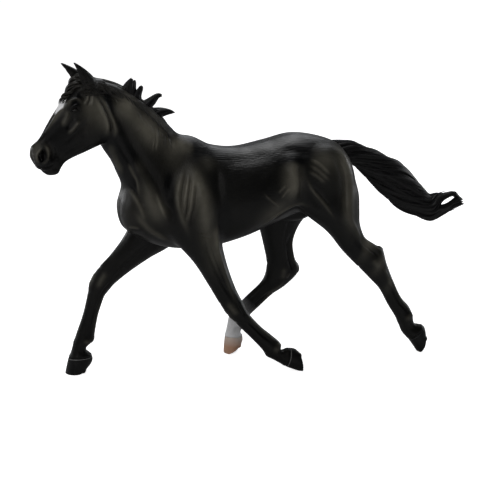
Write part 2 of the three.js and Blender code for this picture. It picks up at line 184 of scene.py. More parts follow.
world = bpy.data.worlds.new("studio")
world.use_nodes = True
tree = world.node_tree
tree.nodes.clear()
dim = node(tree, "ShaderNodeBackground", {"Color": WORLD_TINT, "Strength": WORLD_STRENGTH})
pale = node(tree, "ShaderNodeBackground", {"Color": (1, 1, 1, 1), "Strength": 1.0})
shade = white_to_the_camera(tree, pale.outputs[0], dim.outputs[0])
node(tree, "ShaderNodeOutputWorld", {"Surface": shade})
bpy.context.scene.world = world
bpy.context.scene.view_settings.view_transform = "Standard"

bpy.ops.mesh.primitive_circle_add(vertices=96, radius=6, fill_type="NGON")
floor = bpy.context.object
floor.name = "floor"
paper = bpy.data.materials.new("pale paper")
paper.use_nodes = True
tree = paper.node_tree
tree.nodes.clear()
matt = node(tree, "ShaderNodeBsdfPrincipled", {
    "Base Color": SEEN_PAPER, "Roughness": 0.9,
    "Emission Color": (1, 1, 1, 1), "Emission Strength": PAPER_GLOW})
dull = node(tree, "ShaderNodeBsdfPrincipled", {"Base Color": LIT_PAPER, "Roughness": 0.9})
shade = white_to_the_camera(tree, matt.outputs[0], dull.outputs[0])
node(tree, "ShaderNodeOutputMaterial", {"Surface": shade})
floor.data.materials.append(paper)
print("floor and world are in place")

# %% [markdown]
# ## The drawn levels
#
# A sculptor starts from a side view. Each row below is one level of a form: where the outline of the side
# view passes in front and behind [x, z], which side [y] the form's middle lies at there, its half width,
# and how low its widest line sits. The horse faces -X and its left side is -Y. They are the solids' own
# levels, so the finished skin stays where the frame says.

# %% Trunk, neck and head
TRUNK = [
    ("breast", (-45.4, 62.6), (-44.9, 56.5), 0, 3.6, 0),
    ("point of shoulder", (-42.2, 69.0), (-41.0, 50.2), 0, 8.2, 0.1),
    ("shoulder", (-34.0, 76.5), (-33.0, 45.6), 0, 10.4, 0.15),
    ("withers", (-23.0, 82.2), (-22.0, 43.6), 0, 11.2, 0.25),
    ("girth", (-14.0, 78.8), (-13.0, 44.2), 0, 13.0, 0.15),
    ("back", (-5.0, 77.6), (-3.0, 46.6), 0, 14.6, 0.1),
    ("loin", (5.5, 79.2), (6.5, 50.0), 0, 14.4, 0.05),
    ("point of croup", (15.0, 81.0), (16.0, 53.2), 0, 13.4, 0),
    ("croup", (23.6, 79.8), (24.6, 54.0), 0, 12.4, 0),
    ("dock", (30.6, 77.2), (31.4, 58.0), 0, 10.2, 0),
    ("rump", (34.4, 73.4), (34.8, 61.5), 0, 7.4, 0),
]

NECK = [
    ("root", (-19.0, 76.0), (-38.0, 54.0), 0, 8.0, 0.2),
    ("base", (-25.5, 82.8), (-43.2, 64.6), 0, 7.6, 0.25),
    ("lower", (-29.8, 87.6), (-45.9, 70.0), -0.2, 6.2, 0.15),
    ("middle", (-35.0, 92.4), (-48.2, 75.2), -0.5, 5.2, 0.1),
    ("upper", (-41.2, 97.0), (-51.0, 79.6), -0.9, 4.7, 0.1),
    ("throat", (-47.6, 100.8), (-53.6, 84.0), -1.4, 4.4, 0.05),
    ("nape", (-54.0, 102.6), (-57.0, 88.6), -1.8, 4.0, 0),
]

HEAD = [
    ("nape", (-51.4, 102.6), (-47.6, 93.0), 0, 2.8, 0),
    ("poll", (-56.4, 103.0), (-48.6, 88.4), 0, 4.0, 0.1),
    ("forehead", (-60.6, 100.5), (-50.2, 84.5), 0, 4.6, 0),
    ("eye", (-64.7, 96.2), (-53.2, 81.4), 0, 4.8, 0),
    ("cheek", (-67.9, 92.2), (-57.2, 79.7), 0, 4.2, 0),
    ("face", (-70.9, 88.1), (-61.5, 78.2), 0, 3.3, 0),
    ("bars", (-73.5, 84.8), (-64.8, 76.8), 0, 2.7, 0),
    ("nostril", (-76.2, 82.3), (-66.4, 75.2), 0, 3.0, 0),
    ("lips", (-75.4, 77.6), (-67.8, 73.4), 0, 2.6, 0),
    ("tip", (-73.9, 75.4), (-70.6, 73.4), 0, 1.4, 0),
]
print("levels:", len(TRUNK), "of trunk,", len(NECK), "of neck,", len(HEAD), "of head")

# %% [markdown]
# Each leg has its own rows, as each stands in another phase of the stride. From the coronet up their
# levels match, so what is drawn on one leg can be drawn on all four.

# %% Legs
FORE_LEFT = [
    ("blade top", (-25.0, 74.0), (-15.5, 73.0), -5.6, 3.4, 0),
    ("blade", (-31.5, 66.0), (-14.0, 64.0), -7.4, 4.8, 0),
    ("point of shoulder", (-35.0, 57.5), (-12.8, 56.0), -8.2, 5.4, 0),
    ("elbow", (-29.0, 48.2), (-13.4, 48.6), -9.0, 5.0, 0),
    ("forearm", (-23.0, 40.7), (-11.7, 39.6), -9.8, 4.2, 0),
    ("mid forearm", (-18.4, 33.0), (-9.1, 31.6), -10.5, 3.3, 0),
    ("above knee", (-14.4, 25.8), (-7.3, 27.5), -11.2, 2.7, 0),
    ("knee", (-11.2, 21.3), (-5.8, 24.2), -11.6, 2.6, 0),
    ("below knee", (-7.6, 17.2), (-3.8, 20.9), -11.9, 2.1, 0),
    ("cannon", (-3.5, 12.8), (-0.2, 16.8), -12.3, 1.8, 0),
    ("above fetlock", (-0.2, 9.0), (3.5, 13.5), -12.8, 2.0, 0),
    ("fetlock", (1.7, 6.3), (6.4, 10.6), -13.0, 2.4, 0),
    ("pastern", (4.6, 4.4), (6.8, 8.2), -13.1, 2.1, 0),
    ("coronet", (8.3, 2.0), (9.8, 8.4), -13.2, 2.7, 0),
    ("wall", (11.4, 0.5), (12.0, 7.8), -13.2, 3.1, 0),
    ("bearing edge", (14.3, -0.7), (13.3, 6.4), -13.2, 3.2, 0),
]

FORE_RIGHT = [
    ("blade top", (-26.0, 74.0), (-16.5, 73.0), 5.6, 3.4, 0),
    ("blade", (-33.5, 66.0), (-16.0, 64.0), 7.4, 4.8, 0),
    ("point of shoulder", (-40.0, 58.0), (-18.0, 54.5), 8.2, 5.4, 0),
    ("elbow", (-40.4, 51.0), (-24.6, 43.8), 8.8, 5.0, 0),
    ("forearm", (-42.6, 46.2), (-33.6, 38.7), 9.2, 4.3, 0),
    ("mid forearm", (-46.7, 41.0), (-40.1, 34.7), 9.5, 3.4, 0),
    ("above knee", (-51.3, 36.3), (-45.7, 30.6), 9.7, 2.8, 0),
    ("knee", (-54.3, 31.6), (-49.0, 27.2), 9.8, 2.7, 0),
    ("below knee", (-55.6, 26.0), (-50.6, 23.6), 9.8, 2.2, 0),
    ("cannon", (-57.1, 20.5), (-52.0, 19.3), 9.8, 1.9, 0),
    ("above fetlock", (-59.4, 14.4), (-53.2, 13.6), 9.7, 2.1, 0),
    ("fetlock", (-60.6, 11.0), (-53.6, 11.2), 9.7, 2.5, 0),
    ("pastern", (-61.6, 7.8), (-56.2, 8.6), 9.6, 2.2, 0),
    ("coronet", (-62.6, 5.5), (-54.4, 5.6), 9.6, 2.9, 0),
    ("wall", (-63.3, 2.8), (-54.7, 3.2), 9.6, 3.3, 0),
    ("bearing edge", (-64.0, -0.5), (-57.4, 0.3), 9.6, 3.5, 0),
]

HIND_LEFT = [
    ("hip", (11.0, 74.5), (30.0, 74.0), -5.4, 3.4, 0),
    ("buttock", (9.0, 68.0), (34.4, 67.5), -7.0, 4.9, 0),
    ("thigh", (11.0, 61.0), (36.6, 60.5), -7.9, 5.8, 0),
    ("stifle", (16.4, 54.6), (36.8, 54.0), -8.4, 5.8, 0),
    ("gaskin", (25.0, 47.4), (37.0, 49.4), -8.6, 4.6, 0),
    ("mid gaskin", (30.9, 40.1), (39.0, 44.4), -8.6, 3.6, 0),
    ("above hock", (35.9, 34.8), (42.9, 41.4), -8.6, 2.9, 0),
    ("hock", (38.4, 32.3), (46.0, 39.2), -8.6, 2.8, 0),
    ("below hock", (42.1, 28.4), (47.5, 34.4), -8.6, 2.6, 0),
    ("upper cannon", (45.3, 24.8), (50.0, 28.3), -8.6, 2.1, 0),
    ("cannon", (48.6, 18.9), (53.4, 21.4), -8.5, 1.9, 0),
    ("above fetlock", (51.2, 14.8), (56.6, 17.6), -8.4, 2.1, 0),
    ("fetlock", (52.8, 11.9), (58.0, 14.8), -8.4, 2.5, 0),
    ("pastern", (54.5, 8.0), (59.2, 11.2), -8.3, 2.2, 0),
    ("coronet", (57.2, 4.9), (62.8, 9.4), -8.3, 2.8, 0),
    ("wall", (59.1, 2.3), (63.6, 7.0), -8.3, 3.1, 0),
    ("bearing edge", (61.1, -0.6), (63.5, 5.0), -8.3, 3.2, 0),
]

HIND_RIGHT = [
    ("hip", (9.0, 74.5), (29.5, 74.0), 5.4, 3.4, 0),
    ("buttock", (5.0, 68.0), (34.0, 68.0), 7.0, 4.9, 0),
    ("thigh", (3.5, 60.5), (33.0, 60.5), 8.4, 5.8, 0),
    ("stifle", (4.0, 53.0), (29.0, 53.5), 9.2, 5.8, 0),
    ("gaskin", (6.8, 46.0), (22.6, 47.4), 9.8, 4.6, 0),
    ("mid gaskin", (8.5, 39.8), (19.6, 40.6), 10.2, 3.6, 0),
    ("above hock", (9.8, 34.0), (20.2, 34.4), 10.6, 2.9, 0),
    ("hock", (9.9, 30.2), (22.0, 28.6), 10.9, 2.8, 0),
    ("below hock", (9.0, 27.0), (17.4, 23.8), 11.1, 2.6, 0),
    ("upper cannon", (7.2, 24.5), (12.2, 20.6), 11.4, 2.1, 0),
    ("cannon", (3.2, 21.0), (7.6, 16.6), 11.8, 1.9, 0),
    ("above fetlock", (-0.8, 17.0), (3.4, 12.8), 12.2, 2.1, 0),
    ("fetlock", (-3.4, 13.4), (1.7, 9.5), 12.4, 2.5, 0),
    ("pastern", (-4.4, 9.4), (0.8, 7.6), 12.6, 2.2, 0),
    ("coronet", (-5.1, 6.1), (1.3, 5.8), 12.6, 2.8, 0),
    ("wall", (-5.4, 3.0), (1.3, 4.2), 12.6, 3.2, 0),
    ("bearing edge", (-5.6, -0.6), (0.1, 2.4), 12.6, 3.3, 0),
]

LEGS = {
    "foreleg_left": FORE_LEFT,
    "foreleg_right": FORE_RIGHT,
    "hindleg_left": HIND_LEFT,
    "hindleg_right": HIND_RIGHT,
}
print("levels of the legs:", {leg: len(levels) for leg, levels in LEGS.items()})

# %% [markdown]
# An ear is a loft with a smaller one taken out of it. The same rows serve both ears.

# %% Ears
EAR = [
    ("root", (-58.6, 100.4), (-53.8, 100.6), -2.6, 1.4, 0),
    ("base", (-59.6, 103.0), (-55.0, 103.6), -3.0, 1.6, 0),
    ("middle", (-60.4, 105.0), (-57.4, 106.0), -3.4, 1.3, 0),
    ("upper", (-61.4, 107.2), (-59.8, 107.8), -3.7, 0.75, 0),
    ("tip", (-62.4, 109.0), (-61.9, 109.1), -3.8, 0.28, 0),
]

EAR_CUP = [
    ("base", (-61.0, 101.8), (-57.8, 102.6), -4.1, 0.95, 0),
    ("middle", (-61.6, 104.6), (-59.0, 105.2), -4.3, 0.85, 0),
    ("end", (-62.2, 107.0), (-61.0, 107.3), -4.2, 0.4, 0),
]
print("ears end at", EAR[-1][1], "and are hollow up to", EAR_CUP[-1][1])

# %% [markdown]
# ## From levels to clay
#
# A smooth curve through the front points, one through the back points, and an oval between them at every
# step: that is a loft, and it makes a closed form from a dozen rows. Two lofts that only touch would show
# a hard line where they meet. So they aren't joined as meshes. Each one is measured into a block of clay,
# a grid that holds at each of its cells how far the surface is. Distances are easy to join softly: near
# both surfaces, a little is added.

# %% A curve through the levels
def through(rows, t):
    """Points of the smooth curve through the rows, for t from 0 to 1."""
    rows = np.asarray(rows, float)
    rows = np.vstack([2 * rows[0] - rows[1], rows, 2 * rows[-1] - rows[-2]])
    place = np.asarray(t) * (len(rows) - 3)
    i = np.minimum(place.astype(int), len(rows) - 4)
    w = (place - i)[..., None]
    before, start, end, after = (rows[i + n] for n in range(4))
    leaving, arriving = (end - before) / 2, (after - start) / 2
    rise = 3 * w**2 - 2 * w**3
    return start + rise * (end - start) + (w**3 - 2 * w**2 + w) * leaving + (w**3 - w**2) * arriving


def level_curves(levels, t):
    """Middle, half depth towards the front, half width and lowness of a form at t."""
    front = through([(f[0], y, f[1]) for _, f, _, y, _, _ in levels], t)
    back = through([(b[0], y, b[1]) for _, _, b, y, _, _ in levels], t)
    width, low = through([level[4:] for level in levels], t).T
    return (front + back) / 2, (front - back) / 2, width, low


print("halfway down the neck:", level_curves(NECK, np.array([0.5]))[0].round(1).tolist())

# %% [markdown]
# Blender can bridge rings of edges one by one. Worked out as arrays, all rings of a loft come at once,
# and the same curves later say where a leg's tendon or a hoof's crown lies.

# %% A loft
def loft(levels, sides=96, between=12, boxy=0.0):
    """Points and faces of the closed form through the levels. boxy squares its ovals."""
    rings = (len(levels) - 1) * between + 1
    middle, depth, width, low = level_curves(levels, np.linspace(0, 1, rings))
    angle = np.arange(sides) * 2 * np.pi / sides
    c, s = (np.sign(v) * np.abs(v) ** (1 - boxy) for v in (np.cos(angle), np.sin(angle)))
    along = c - low[:, None] * (1 - c**2)
    points = middle[:, None] + along[..., None] * depth[:, None]
    points[..., 1] += width[:, None] * s
    ring, side = np.meshgrid(np.arange(rings - 1), np.arange(sides), indexing="ij")
    ring, side, beside = ring.ravel() * sides, side.ravel(), (side.ravel() + 1) % sides
    quads = np.stack([ring + side, ring + beside, ring + sides + beside, ring + sides + side], 1)
    around = np.arange(sides)
    caps = []
    for end, start in enumerate((0, (rings - 1) * sides)):
        centre = np.full(sides, rings * sides + end)
        caps.append(np.stack([centre, start + around, start + (around + 1) % sides], 1))
    points = np.vstack([points.reshape(-1, 3), middle[0], middle[-1]])
    return points, quads, np.vstack(caps)


print("trunk:", len(loft(TRUNK)[0]), "points")

# %% [markdown]
# A Remesh modifier would join the lofts too, but leave a crease wherever two of them meet. In the block
# of clay the width of that hollow is a number: wide at a shoulder, tight at an ear.

# %% The block of clay
class Clay:
    """A grid over a box that holds how far outside the surface each cell lies, in mm, up to its reach."""

    def __init__(self, low, high, grain, reach):
        self.grain, self.reach = grain, reach
        self.first = np.floor(np.array(low) / grain).astype(int)
        size = np.ceil(np.array(high) / grain).astype(int) - self.first + 1
        self.out = np.full(size, reach, np.float32)

    def window(self, low, high):
        """The slices of the block between two corners, and the points there as three thin grids."""
        start = np.floor(np.asarray(low) / self.grain).astype(int) - self.first
        stop = np.ceil(np.asarray(high) / self.grain).astype(int) - self.first + 1
        start, stop = (np.clip(v, 0, self.out.shape) for v in (start, stop))
        if (stop <= start).any():
            return None, None
        cells = tuple(slice(a, b) for a, b in zip(start, stop))
        grids = np.ogrid[cells]
        return cells, [(g + f) * np.float32(self.grain) for g, f in zip(grids, self.first)]

    def join(self, cells, other, softness):
        """Adds a form, given by its distances. The hollow between near surfaces fills."""
        here = self.out[cells]
        share = np.clip(0.5 + 0.5 * (here - other) / softness, 0, 1)
        self.out[cells] = here + share * (other - here) - softness * share * (1 - share)

    def cut(self, cells, other, softness):
        """Takes a form away. The edge that is left is rounded by the softness."""
        self.out[cells] *= -1
        self.join(cells, other, softness)
        self.out[cells] *= -1

    def measure(self, shape, softness, hollow=False):
        """Adds a closed form of points, quads and triangles, or takes it away."""
        points, quads, triangles = shape
        cells, _ = self.window(points.min(0) - self.reach, points.max(0) + self.reach)
        if cells is None:
            return
        grid = vdb.FloatGrid.createLevelSetFromPolygons(
            points.astype(np.float32), triangles=triangles.astype(np.uint32), quads=quads.astype(np.uint32),
            transform=vdb.createLinearTransform(self.grain), halfWidth=self.reach / self.grain)
        there = np.empty([c.stop - c.start for c in cells], np.float32)
        grid.copyToArray(there, ijk=tuple(int(c.start + f) for c, f in zip(cells, self.first)))
        (self.cut if hollow else self.join)(cells, there, softness)

    def distance(self, points):
        """How far points lie outside the surface."""
        place = np.asarray(points) / self.grain - self.first
        place = np.clip(place, 0, np.array(self.out.shape) - 1.001)
        cell = place.astype(int)
        near = place - cell
        total = np.zeros(place.shape[:-1])
        for corner in np.ndindex(2, 2, 2):
            weight = np.where(corner, near, 1 - near).prod(-1)
            i, j, k = np.moveaxis(cell + corner, -1, 0)
            total += weight * self.out[i, j, k]
        return total

    def holds(self, points, edge=1.0):
        """Which points lie inside the block."""
        place = np.asarray(points) / self.grain - self.first
        room = edge / self.grain
        return ((place > room) & (place < np.array(self.out.shape) - room)).all(-1)

    def skin(self):
        """The surface as points and quads."""
        grid = vdb.FloatGrid(self.reach)
        grid.transform = vdb.createLinearTransform(self.grain)
        grid.copyFromArray(self.out, ijk=tuple(int(v) for v in self.first))
        grid.gridClass = vdb.GridClass.LEVEL_SET
        return grid.convertToQuads(isovalue=0.0)


body_clay = Clay((-80, -19, -1), (67, 19, 110), grain=0.25, reach=3.0)
head_clay = Clay((-79, -14, 71), (-46, 7, 110), grain=0.125, reach=1.8)
print("cells:", body_clay.out.size, "for the body and", head_clay.out.size, "for the head")

# %% [markdown]
# ## The rough figure
#
# The head is drawn looking straight ahead and then turned to the horse's left, as it is on the toy. The
# lofts go in first, the largest first, each with its own softness: wide where a leg grows out of the
# trunk, tight where an ear grows out of the head. Each leg gets one more level at its top, sunk in the
# trunk, so that it ends without a ledge.

# %% Turning the head
HEAD_TURN = math.radians(12)
POLL = np.array([-52.0, -1.6])
COS, SIN = math.cos(HEAD_TURN), math.sin(HEAD_TURN)
TURN = np.array([[COS, -SIN, 0], [SIN, COS, 0], [0, 0, 1]])


def turned(points):
    """Points drawn on the straight head, turned about the poll as the head is."""
    return (np.asarray(points, float) - [POLL[0], 0, 0]) @ TURN.T + [POLL[0], POLL[1], 0]


def straight(x, y, z):
    """The way back: where a point of the turned head lies on the straight one."""
    x, y = x - POLL[0], y - POLL[1]
    return x * TURN[0, 0] + y * TURN[1, 0] + POLL[0], x * TURN[0, 1] + y * TURN[1, 1], z


def pricked(points, side):
    """An ear's points on its side of the head: -1 left, 1 right. The right ear leans further forward."""
    if side < 0:
        return points
    lean = math.radians(8)
    root = np.array([-56.0, 0, 101.0])
    points = points * [1, -1, 1] - root
    x, z = points[:, 0], points[:, 2]
    across = x * math.cos(lean) - z * math.sin(lean)
    up = x * math.sin(lean) + z * math.cos(lean)
    return np.stack([across, points[:, 1], up], 1) + root


print("muzzle:", turned([-76, 0, 80]).round(1).tolist())

# %% [markdown]
# Now the lofts go into the two blocks of clay. The head has a block of its own with finer cells, as its
# forms are the smallest.

# %% Joining the lofts
def joined(shape, softness, blocks=(body_clay, head_clay)):
    for clay in blocks:
        clay.measure(shape, min(softness, clay.reach))


def moved(shape, move):
    return (move(shape[0]), *shape[1:])


joined(loft(TRUNK), 3.0, [body_clay])
joined(loft(NECK), 3.0)
joined(moved(loft(HEAD, boxy=0.2), turned), 1.6)
for side in (-1, 1):
    ear = moved(loft(EAR), lambda points: turned(pricked(points, side)))
    joined(ear, 0.9)
for leg, levels in LEGS.items():
    side = math.copysign(1, levels[0][3])
    if leg.startswith("fore"):
        sunk = ("sunk", (-22.4, 78.0), (-17.2, 77.4), 2.4 * side, 2.0, 0)
    else:
        sunk = ("sunk", (14.5, 77.0), (26.0, 76.6), 2.4 * side, 2.4, 0)
    joined(loft([sunk, *levels]), 2.2, [body_clay])
print("the rough figure fills", int((body_clay.out < 0).sum() * body_clay.grain**3), "cubic mm")


# %% [markdown]
# ## Muscles and hollows
#
# The levels give the outline and the width. What is left out are the masses that show between them: the
# cheek, the breast, the haunch. Each is an egg of clay, given by its middle, its three half lengths, its
# lean in the side view and its softness. It is pressed on both sides of the horse, unless its middle lies
# on the middle plane.

# %% Eggs of clay
def lean_back(x, z, lean):
    """Coordinates along and across an axis that leans in the side view."""
    c, s = math.cos(math.radians(lean)), math.sin(math.radians(lean))
    return x * c - z * s, x * s + z * c


def egg(clay, middle, radii, lean=0, softness=1.0, on_head=False, hollow=False):
    """Adds an egg of clay, or takes one away."""
    room = max(radii) + clay.reach
    centre = turned(middle) if on_head else np.array(middle, float)
    cells, grids = clay.window(centre - room, centre + room)
    if cells is None:
        return
    x, y, z = straight(*grids) if on_head else grids
    across, up = lean_back(x - middle[0], z - middle[2], lean)
    parts = [across / radii[0], (y - middle[1]) / radii[1], up / radii[2]]
    size = np.sqrt(sum(p**2 for p in parts)) + 1e-6
    slope = np.sqrt(sum((p / r) ** 2 for p, r in zip(parts, radii))) + 1e-6
    away = np.clip(size * (size - 1) / slope, -clay.reach, clay.reach).astype(np.float32)
    (clay.cut if hollow else clay.join)(cells, away, min(softness, clay.reach))


def eggs(rows, **settings):
    """Presses the rows of a table into the clay on both sides."""
    for _, (x, y, z), radii, lean, softness in rows:
        for side in sorted({1.0, 1.0 if y == 0 else -1.0}):
            for clay in (body_clay, head_clay):
                egg(clay, (x, side * y, z), radii, lean, softness, **settings)


BODY_MUSCLES = [
    ("breast", (-41.2, 2.8, 58.8), (4.1, 5.4, 7.6), 8, 2.5),
    ("haunch", (24.0, 7.6, 66.6), (9.4, 5.4, 9.6), 0, 2.5),
    ("triceps", (-21.0, 10.0, 59.0), (7.4, 3.6, 8.0), 10, 2.5),
    ("sheath", (16.8, 0, 52.8), (6.6, 2.5, 2.8), -6, 1.2),
]
HEAD_MUSCLES = [
    ("cheek plate", (-55.6, 2.5, 89.4), (5.4, 2.2, 7.6), -24, 1.6),
    ("orbit", (-62.0, 2.6, 94.6), (3.2, 1.8, 2.3), 40, 1.2),
    ("nostril", (-73.4, 1.8, 80.2), (2.2, 1.4, 2.6), 30, 1.2),
    ("chin", (-69.8, 0, 75.2), (2.4, 1.9, 1.9), 0, 1.2),
]
eggs(BODY_MUSCLES)
eggs(HEAD_MUSCLES, on_head=True)
print("eggs:", len(BODY_MUSCLES) + len(HEAD_MUSCLES))


# %% [markdown]
# ## Where the hooves begin
#
# The hooves are horn, another finish, so the skin ends at each coronet. A flat cut across the leg does
# that. Its line is the coronet's own level.

# %% Cutting the legs at the coronets
def below_line(p, q, grids):
    """How far points lie on the right of the line from p to q, seen in the side view."""
    normal = np.array([q[1] - p[1], p[0] - q[0]]) / math.dist(p, q)
    x, _, z = grids
    return (x - p[0]) * normal[0] + (z - p[1]) * normal[1]


def coronet(levels):
    """The coronet's front, back, side and half width."""
    return next(level[1:5] for level in levels if level[0] == "coronet")


for levels in LEGS.values():
    front, back, y, width = coronet(levels)
    toe = levels[-1][1]
    middle = np.array([(front[0] + back[0]) / 2, y, (front[1] + back[1]) / 2])
    cells, grids = body_clay.window(middle - [11, 6, 9], middle + [11, 6, 6])
    hoof_side = np.sign(below_line(front, back, [toe[0], 0, toe[1]]))
    body_clay.cut(cells, -hoof_side * below_line(front, back, grids) + np.zeros_like(grids[1]), 0.3)
print("coronets cut")

# %% [markdown]
# ## Eyes, nostrils and ears in the clay
#
# The lids are a thin shell round the eyeball, with an opening shaped like a leaf: where two circles
# overlap. The nostril is a slanting hole with a thick rim. The ears are hollowed with a smaller loft, cut
# away instead of added.

# %% Lids
EYE_RADIUS = 1.15
EYE_PLACE = np.array([-62.4, 3.5, 94.2])
EYE_LOOKS = np.array([-0.30, 0.94, 0.10])  # from the eye's middle outwards
EYE_TILT = math.radians(20)
EYE_OPENING = (1.25, 0.64)  # half length and half height


def lids(clay, side):
    """A shell over the eyeball, opened between the lids."""
    centre = EYE_PLACE * [1, side, 1]
    out = EYE_LOOKS * [1, side, 1] / np.linalg.norm(EYE_LOOKS)
    length = np.array([math.cos(EYE_TILT), 0, math.sin(EYE_TILT)])
    length -= out * (length @ out)
    length /= np.linalg.norm(length)
    up = np.cross(length, out) * side
    cells, grids = clay.window(turned(centre) - 5, turned(centre) + 5)
    x, y, z = (g - c for g, c in zip(straight(*grids), centre))
    ball = np.sqrt(x**2 + y**2 + z**2)
    clay.join(cells, (ball - EYE_RADIUS - 0.34).astype(np.float32), 1.0)
    a, b, c = (x * axis[0] + y * axis[1] + z * axis[2] for axis in (length, up, out))
    half, high = EYE_OPENING
    circle = (half**2 + high**2) / (2 * high)
    leaf = np.maximum(np.hypot(a, b - circle + high), np.hypot(a, b + circle - high)) - circle
    opening = np.maximum(np.maximum(leaf, -c), EYE_RADIUS - 0.12 - ball)
    clay.cut(cells, opening.astype(np.float32), 0.2)


for side in (-1, 1):
    lids(head_clay, side)
print("lids: opening", [2 * v for v in EYE_OPENING], "mm")

# %% Nostrils and ears
HOLES = [
    ("nostril", (-74.1, 3.2, 79.8), (0.95, 1.5, 1.6), -14, 0.3),
    ("nostril's upper corner", (-73.6, 3.0, 81.3), (0.5, 1.0, 0.8), 12, 0.3),
]
eggs(HOLES, on_head=True, hollow=True)
for side in (-1, 1):
    head_clay.measure(moved(loft(EAR_CUP), lambda points: turned(pricked(points, side))), 0.4, hollow=True)
print("nostrils and ears hollowed")

# %% [markdown]
# ## Paint
#
# One satin black covers the whole toy, so the finishes share their effects, each built once as a node
# group: an airbrushed tint, which on the coat also serves as painted highlight, a gloss that wanders a
# little, and the fine strokes that stand for short hair. A group puts out only colours and values. The
# shader stays in the material.

# %% Shared effects
def effect(name, inputs, out_kind, out_name):
    """An empty node group with its sockets."""
    tree = bpy.data.node_groups.new(name, "ShaderNodeTree")
    for socket_name, kind, value in inputs:
        made = tree.interface.new_socket(socket_name, in_out="INPUT", socket_type=f"NodeSocket{kind}")
        if value is not None:
            made.default_value = value
    tree.interface.new_socket(out_name, in_out="OUTPUT", socket_type=f"NodeSocket{out_kind}")
    given = node(tree, "NodeGroupInput").outputs
    return tree, given


def sum_of(tree, kind, a, b=0.0, c=0.0):
    """A Math node's value."""
    return node(tree, "ShaderNodeMath", {0: a, 1: b, 2: c}, operation=kind).outputs[0]


def airbrush():
    """A tint sprayed over a base where the mask is, broken up by a soft mottle."""
    inputs = [("Base", "Color", None), ("Tint", "Color", None), ("Mask", "Float", 0.0),
              ("Mottle", "Float", 0.3), ("Mottle scale", "Float", 400.0)]
    tree, given = effect("airbrush", inputs, "Color", "Colour")
    place = node(tree, "ShaderNodeTexCoord").outputs["Object"]
    settings = {"Vector": place, "Scale": given["Mottle scale"], "Detail": 3.0}
    cloud = node(tree, "ShaderNodeTexNoise", settings)
    uneven = sum_of(tree, "MULTIPLY_ADD", cloud.outputs["Fac"], 2.0, -1.0)
    uneven = sum_of(tree, "MULTIPLY_ADD", uneven, given["Mottle"], 1.0)
    factors = {0: uneven, 1: given["Mask"]}
    amount = node(tree, "ShaderNodeMath", factors, operation="MULTIPLY", use_clamp=True)
    colours = {0: amount.outputs[0], 6: given["Base"], 7: given["Tint"]}
    mixed = node(tree, "ShaderNodeMix", colours, data_type="RGBA")
    node(tree, "NodeGroupOutput", {"Colour": mixed.outputs[2]})
    return tree


def satin():
    """Roughness that wanders between two values, as a hand-sprayed lacquer's does."""
    inputs = [("Smoothest", "Float", 0.35), ("Roughest", "Float", 0.5), ("Scale", "Float", 300.0)]
    tree, given = effect("satin", inputs, "Float", "Roughness")
    place = node(tree, "ShaderNodeTexCoord").outputs["Object"]
    cloud = node(tree, "ShaderNodeTexNoise", {"Vector": place, "Scale": given["Scale"], "Detail": 4.0})
    ranged = node(tree, "ShaderNodeMapRange", {
        "Value": cloud.outputs["Fac"], "From Min": 0.3, "From Max": 0.7,
        "To Min": given["Smoothest"], "To Max": given["Roughest"]})
    node(tree, "NodeGroupOutput", {"Roughness": ranged.outputs[0]})
    return tree


def hair_strokes():
    """The height of short strokes cut side by side. Their run and their width are the noise's scales."""
    inputs = [("Across", "Float", 2600.0), ("Along", "Float", 260.0), ("Lean", "Float", 0.0)]
    tree, given = effect("hair strokes", inputs, "Float", "Height")
    place = node(tree, "ShaderNodeTexCoord").outputs["Object"]
    turn = {"Vector": place, "Angle": given["Lean"]}
    leaning = node(tree, "ShaderNodeVectorRotate", turn, rotation_type="Y_AXIS")
    scale = node(tree, "ShaderNodeCombineXYZ", {0: given["Across"], 1: given["Across"], 2: given["Along"]})
    factors = {0: leaning.outputs[0], 1: scale.outputs[0]}
    drawn = node(tree, "ShaderNodeVectorMath", factors, operation="MULTIPLY")
    cloud = node(tree, "ShaderNodeTexNoise", {"Vector": drawn.outputs[0], "Scale": 1.0, "Detail": 2.0})
    node(tree, "NodeGroupOutput", {"Height": cloud.outputs["Fac"]})
    return tree


AIRBRUSH, SATIN, HAIR_STROKES = airbrush(), satin(), hair_strokes()
print("effects:", [tree.name for tree in (AIRBRUSH, SATIN, HAIR_STROKES)])

# %% [markdown]
# A finish is one material: a shader with the shared effects plugged into it. These helpers keep each
# finish down to a few lines.

# %% Putting an effect in a finish
def placed(tree, group, values):
    """An effect's value in a material."""
    made = node(tree, "ShaderNodeGroup", node_tree=group)
    for key, value in values.items():
        if isinstance(value, bpy.types.NodeSocket):
            tree.links.new(value, made.inputs[key])
        else:
            made.inputs[key].default_value = value
    return made.outputs[0]


def attribute(tree, name):
    """A number painted on the mesh's points."""
    return node(tree, "ShaderNodeAttribute", attribute_name=name).outputs["Fac"]


def finish(name, **plain):
    """A new material and its shader. Plain values are the same all over."""
    material = bpy.data.materials.new(name)
    material.use_nodes = True
    tree = material.node_tree
    shader = tree.nodes["Principled BSDF"]
    for key, value in plain.items():
        shader.inputs[key.replace("_", " ")].default_value = value
    return material, tree, shader


def plug(tree, shader, height=None, depth=0.00005, **values):
    """Links varying values to the shader, and a height through a Bump node."""
    for key, value in values.items():
        tree.links.new(value, shader.inputs[key.replace("_", " ")])
    if height is not None:
        bump = node(tree, "ShaderNodeBump", {"Height": height, "Distance": depth, "Strength": 1.0})
        tree.links.new(bump.outputs[0], shader.inputs["Normal"])


print("helpers are ready")

# %% [markdown]
# The coat is near black. Olive brown is airbrushed over the muscles that stand out: partly the toy's own
# paint, partly a painted highlight where light would catch them. White paint marks the forehead and the
# right hind foot. Where each goes is a number on the mesh's points, worked out from the same curves that
# raised the muscles. A pattern in the material alone wouldn't know where they lie.

# %% The coat
BLACK = (0.0012, 0.0012, 0.0013, 1)
# The olive is paint that also stands in for the highlights on the raised muscles.
OLIVE_AND_HIGHLIGHT = (0.152, 0.143, 0.114, 1)
WHITE = (0.86, 0.86, 0.87, 1)


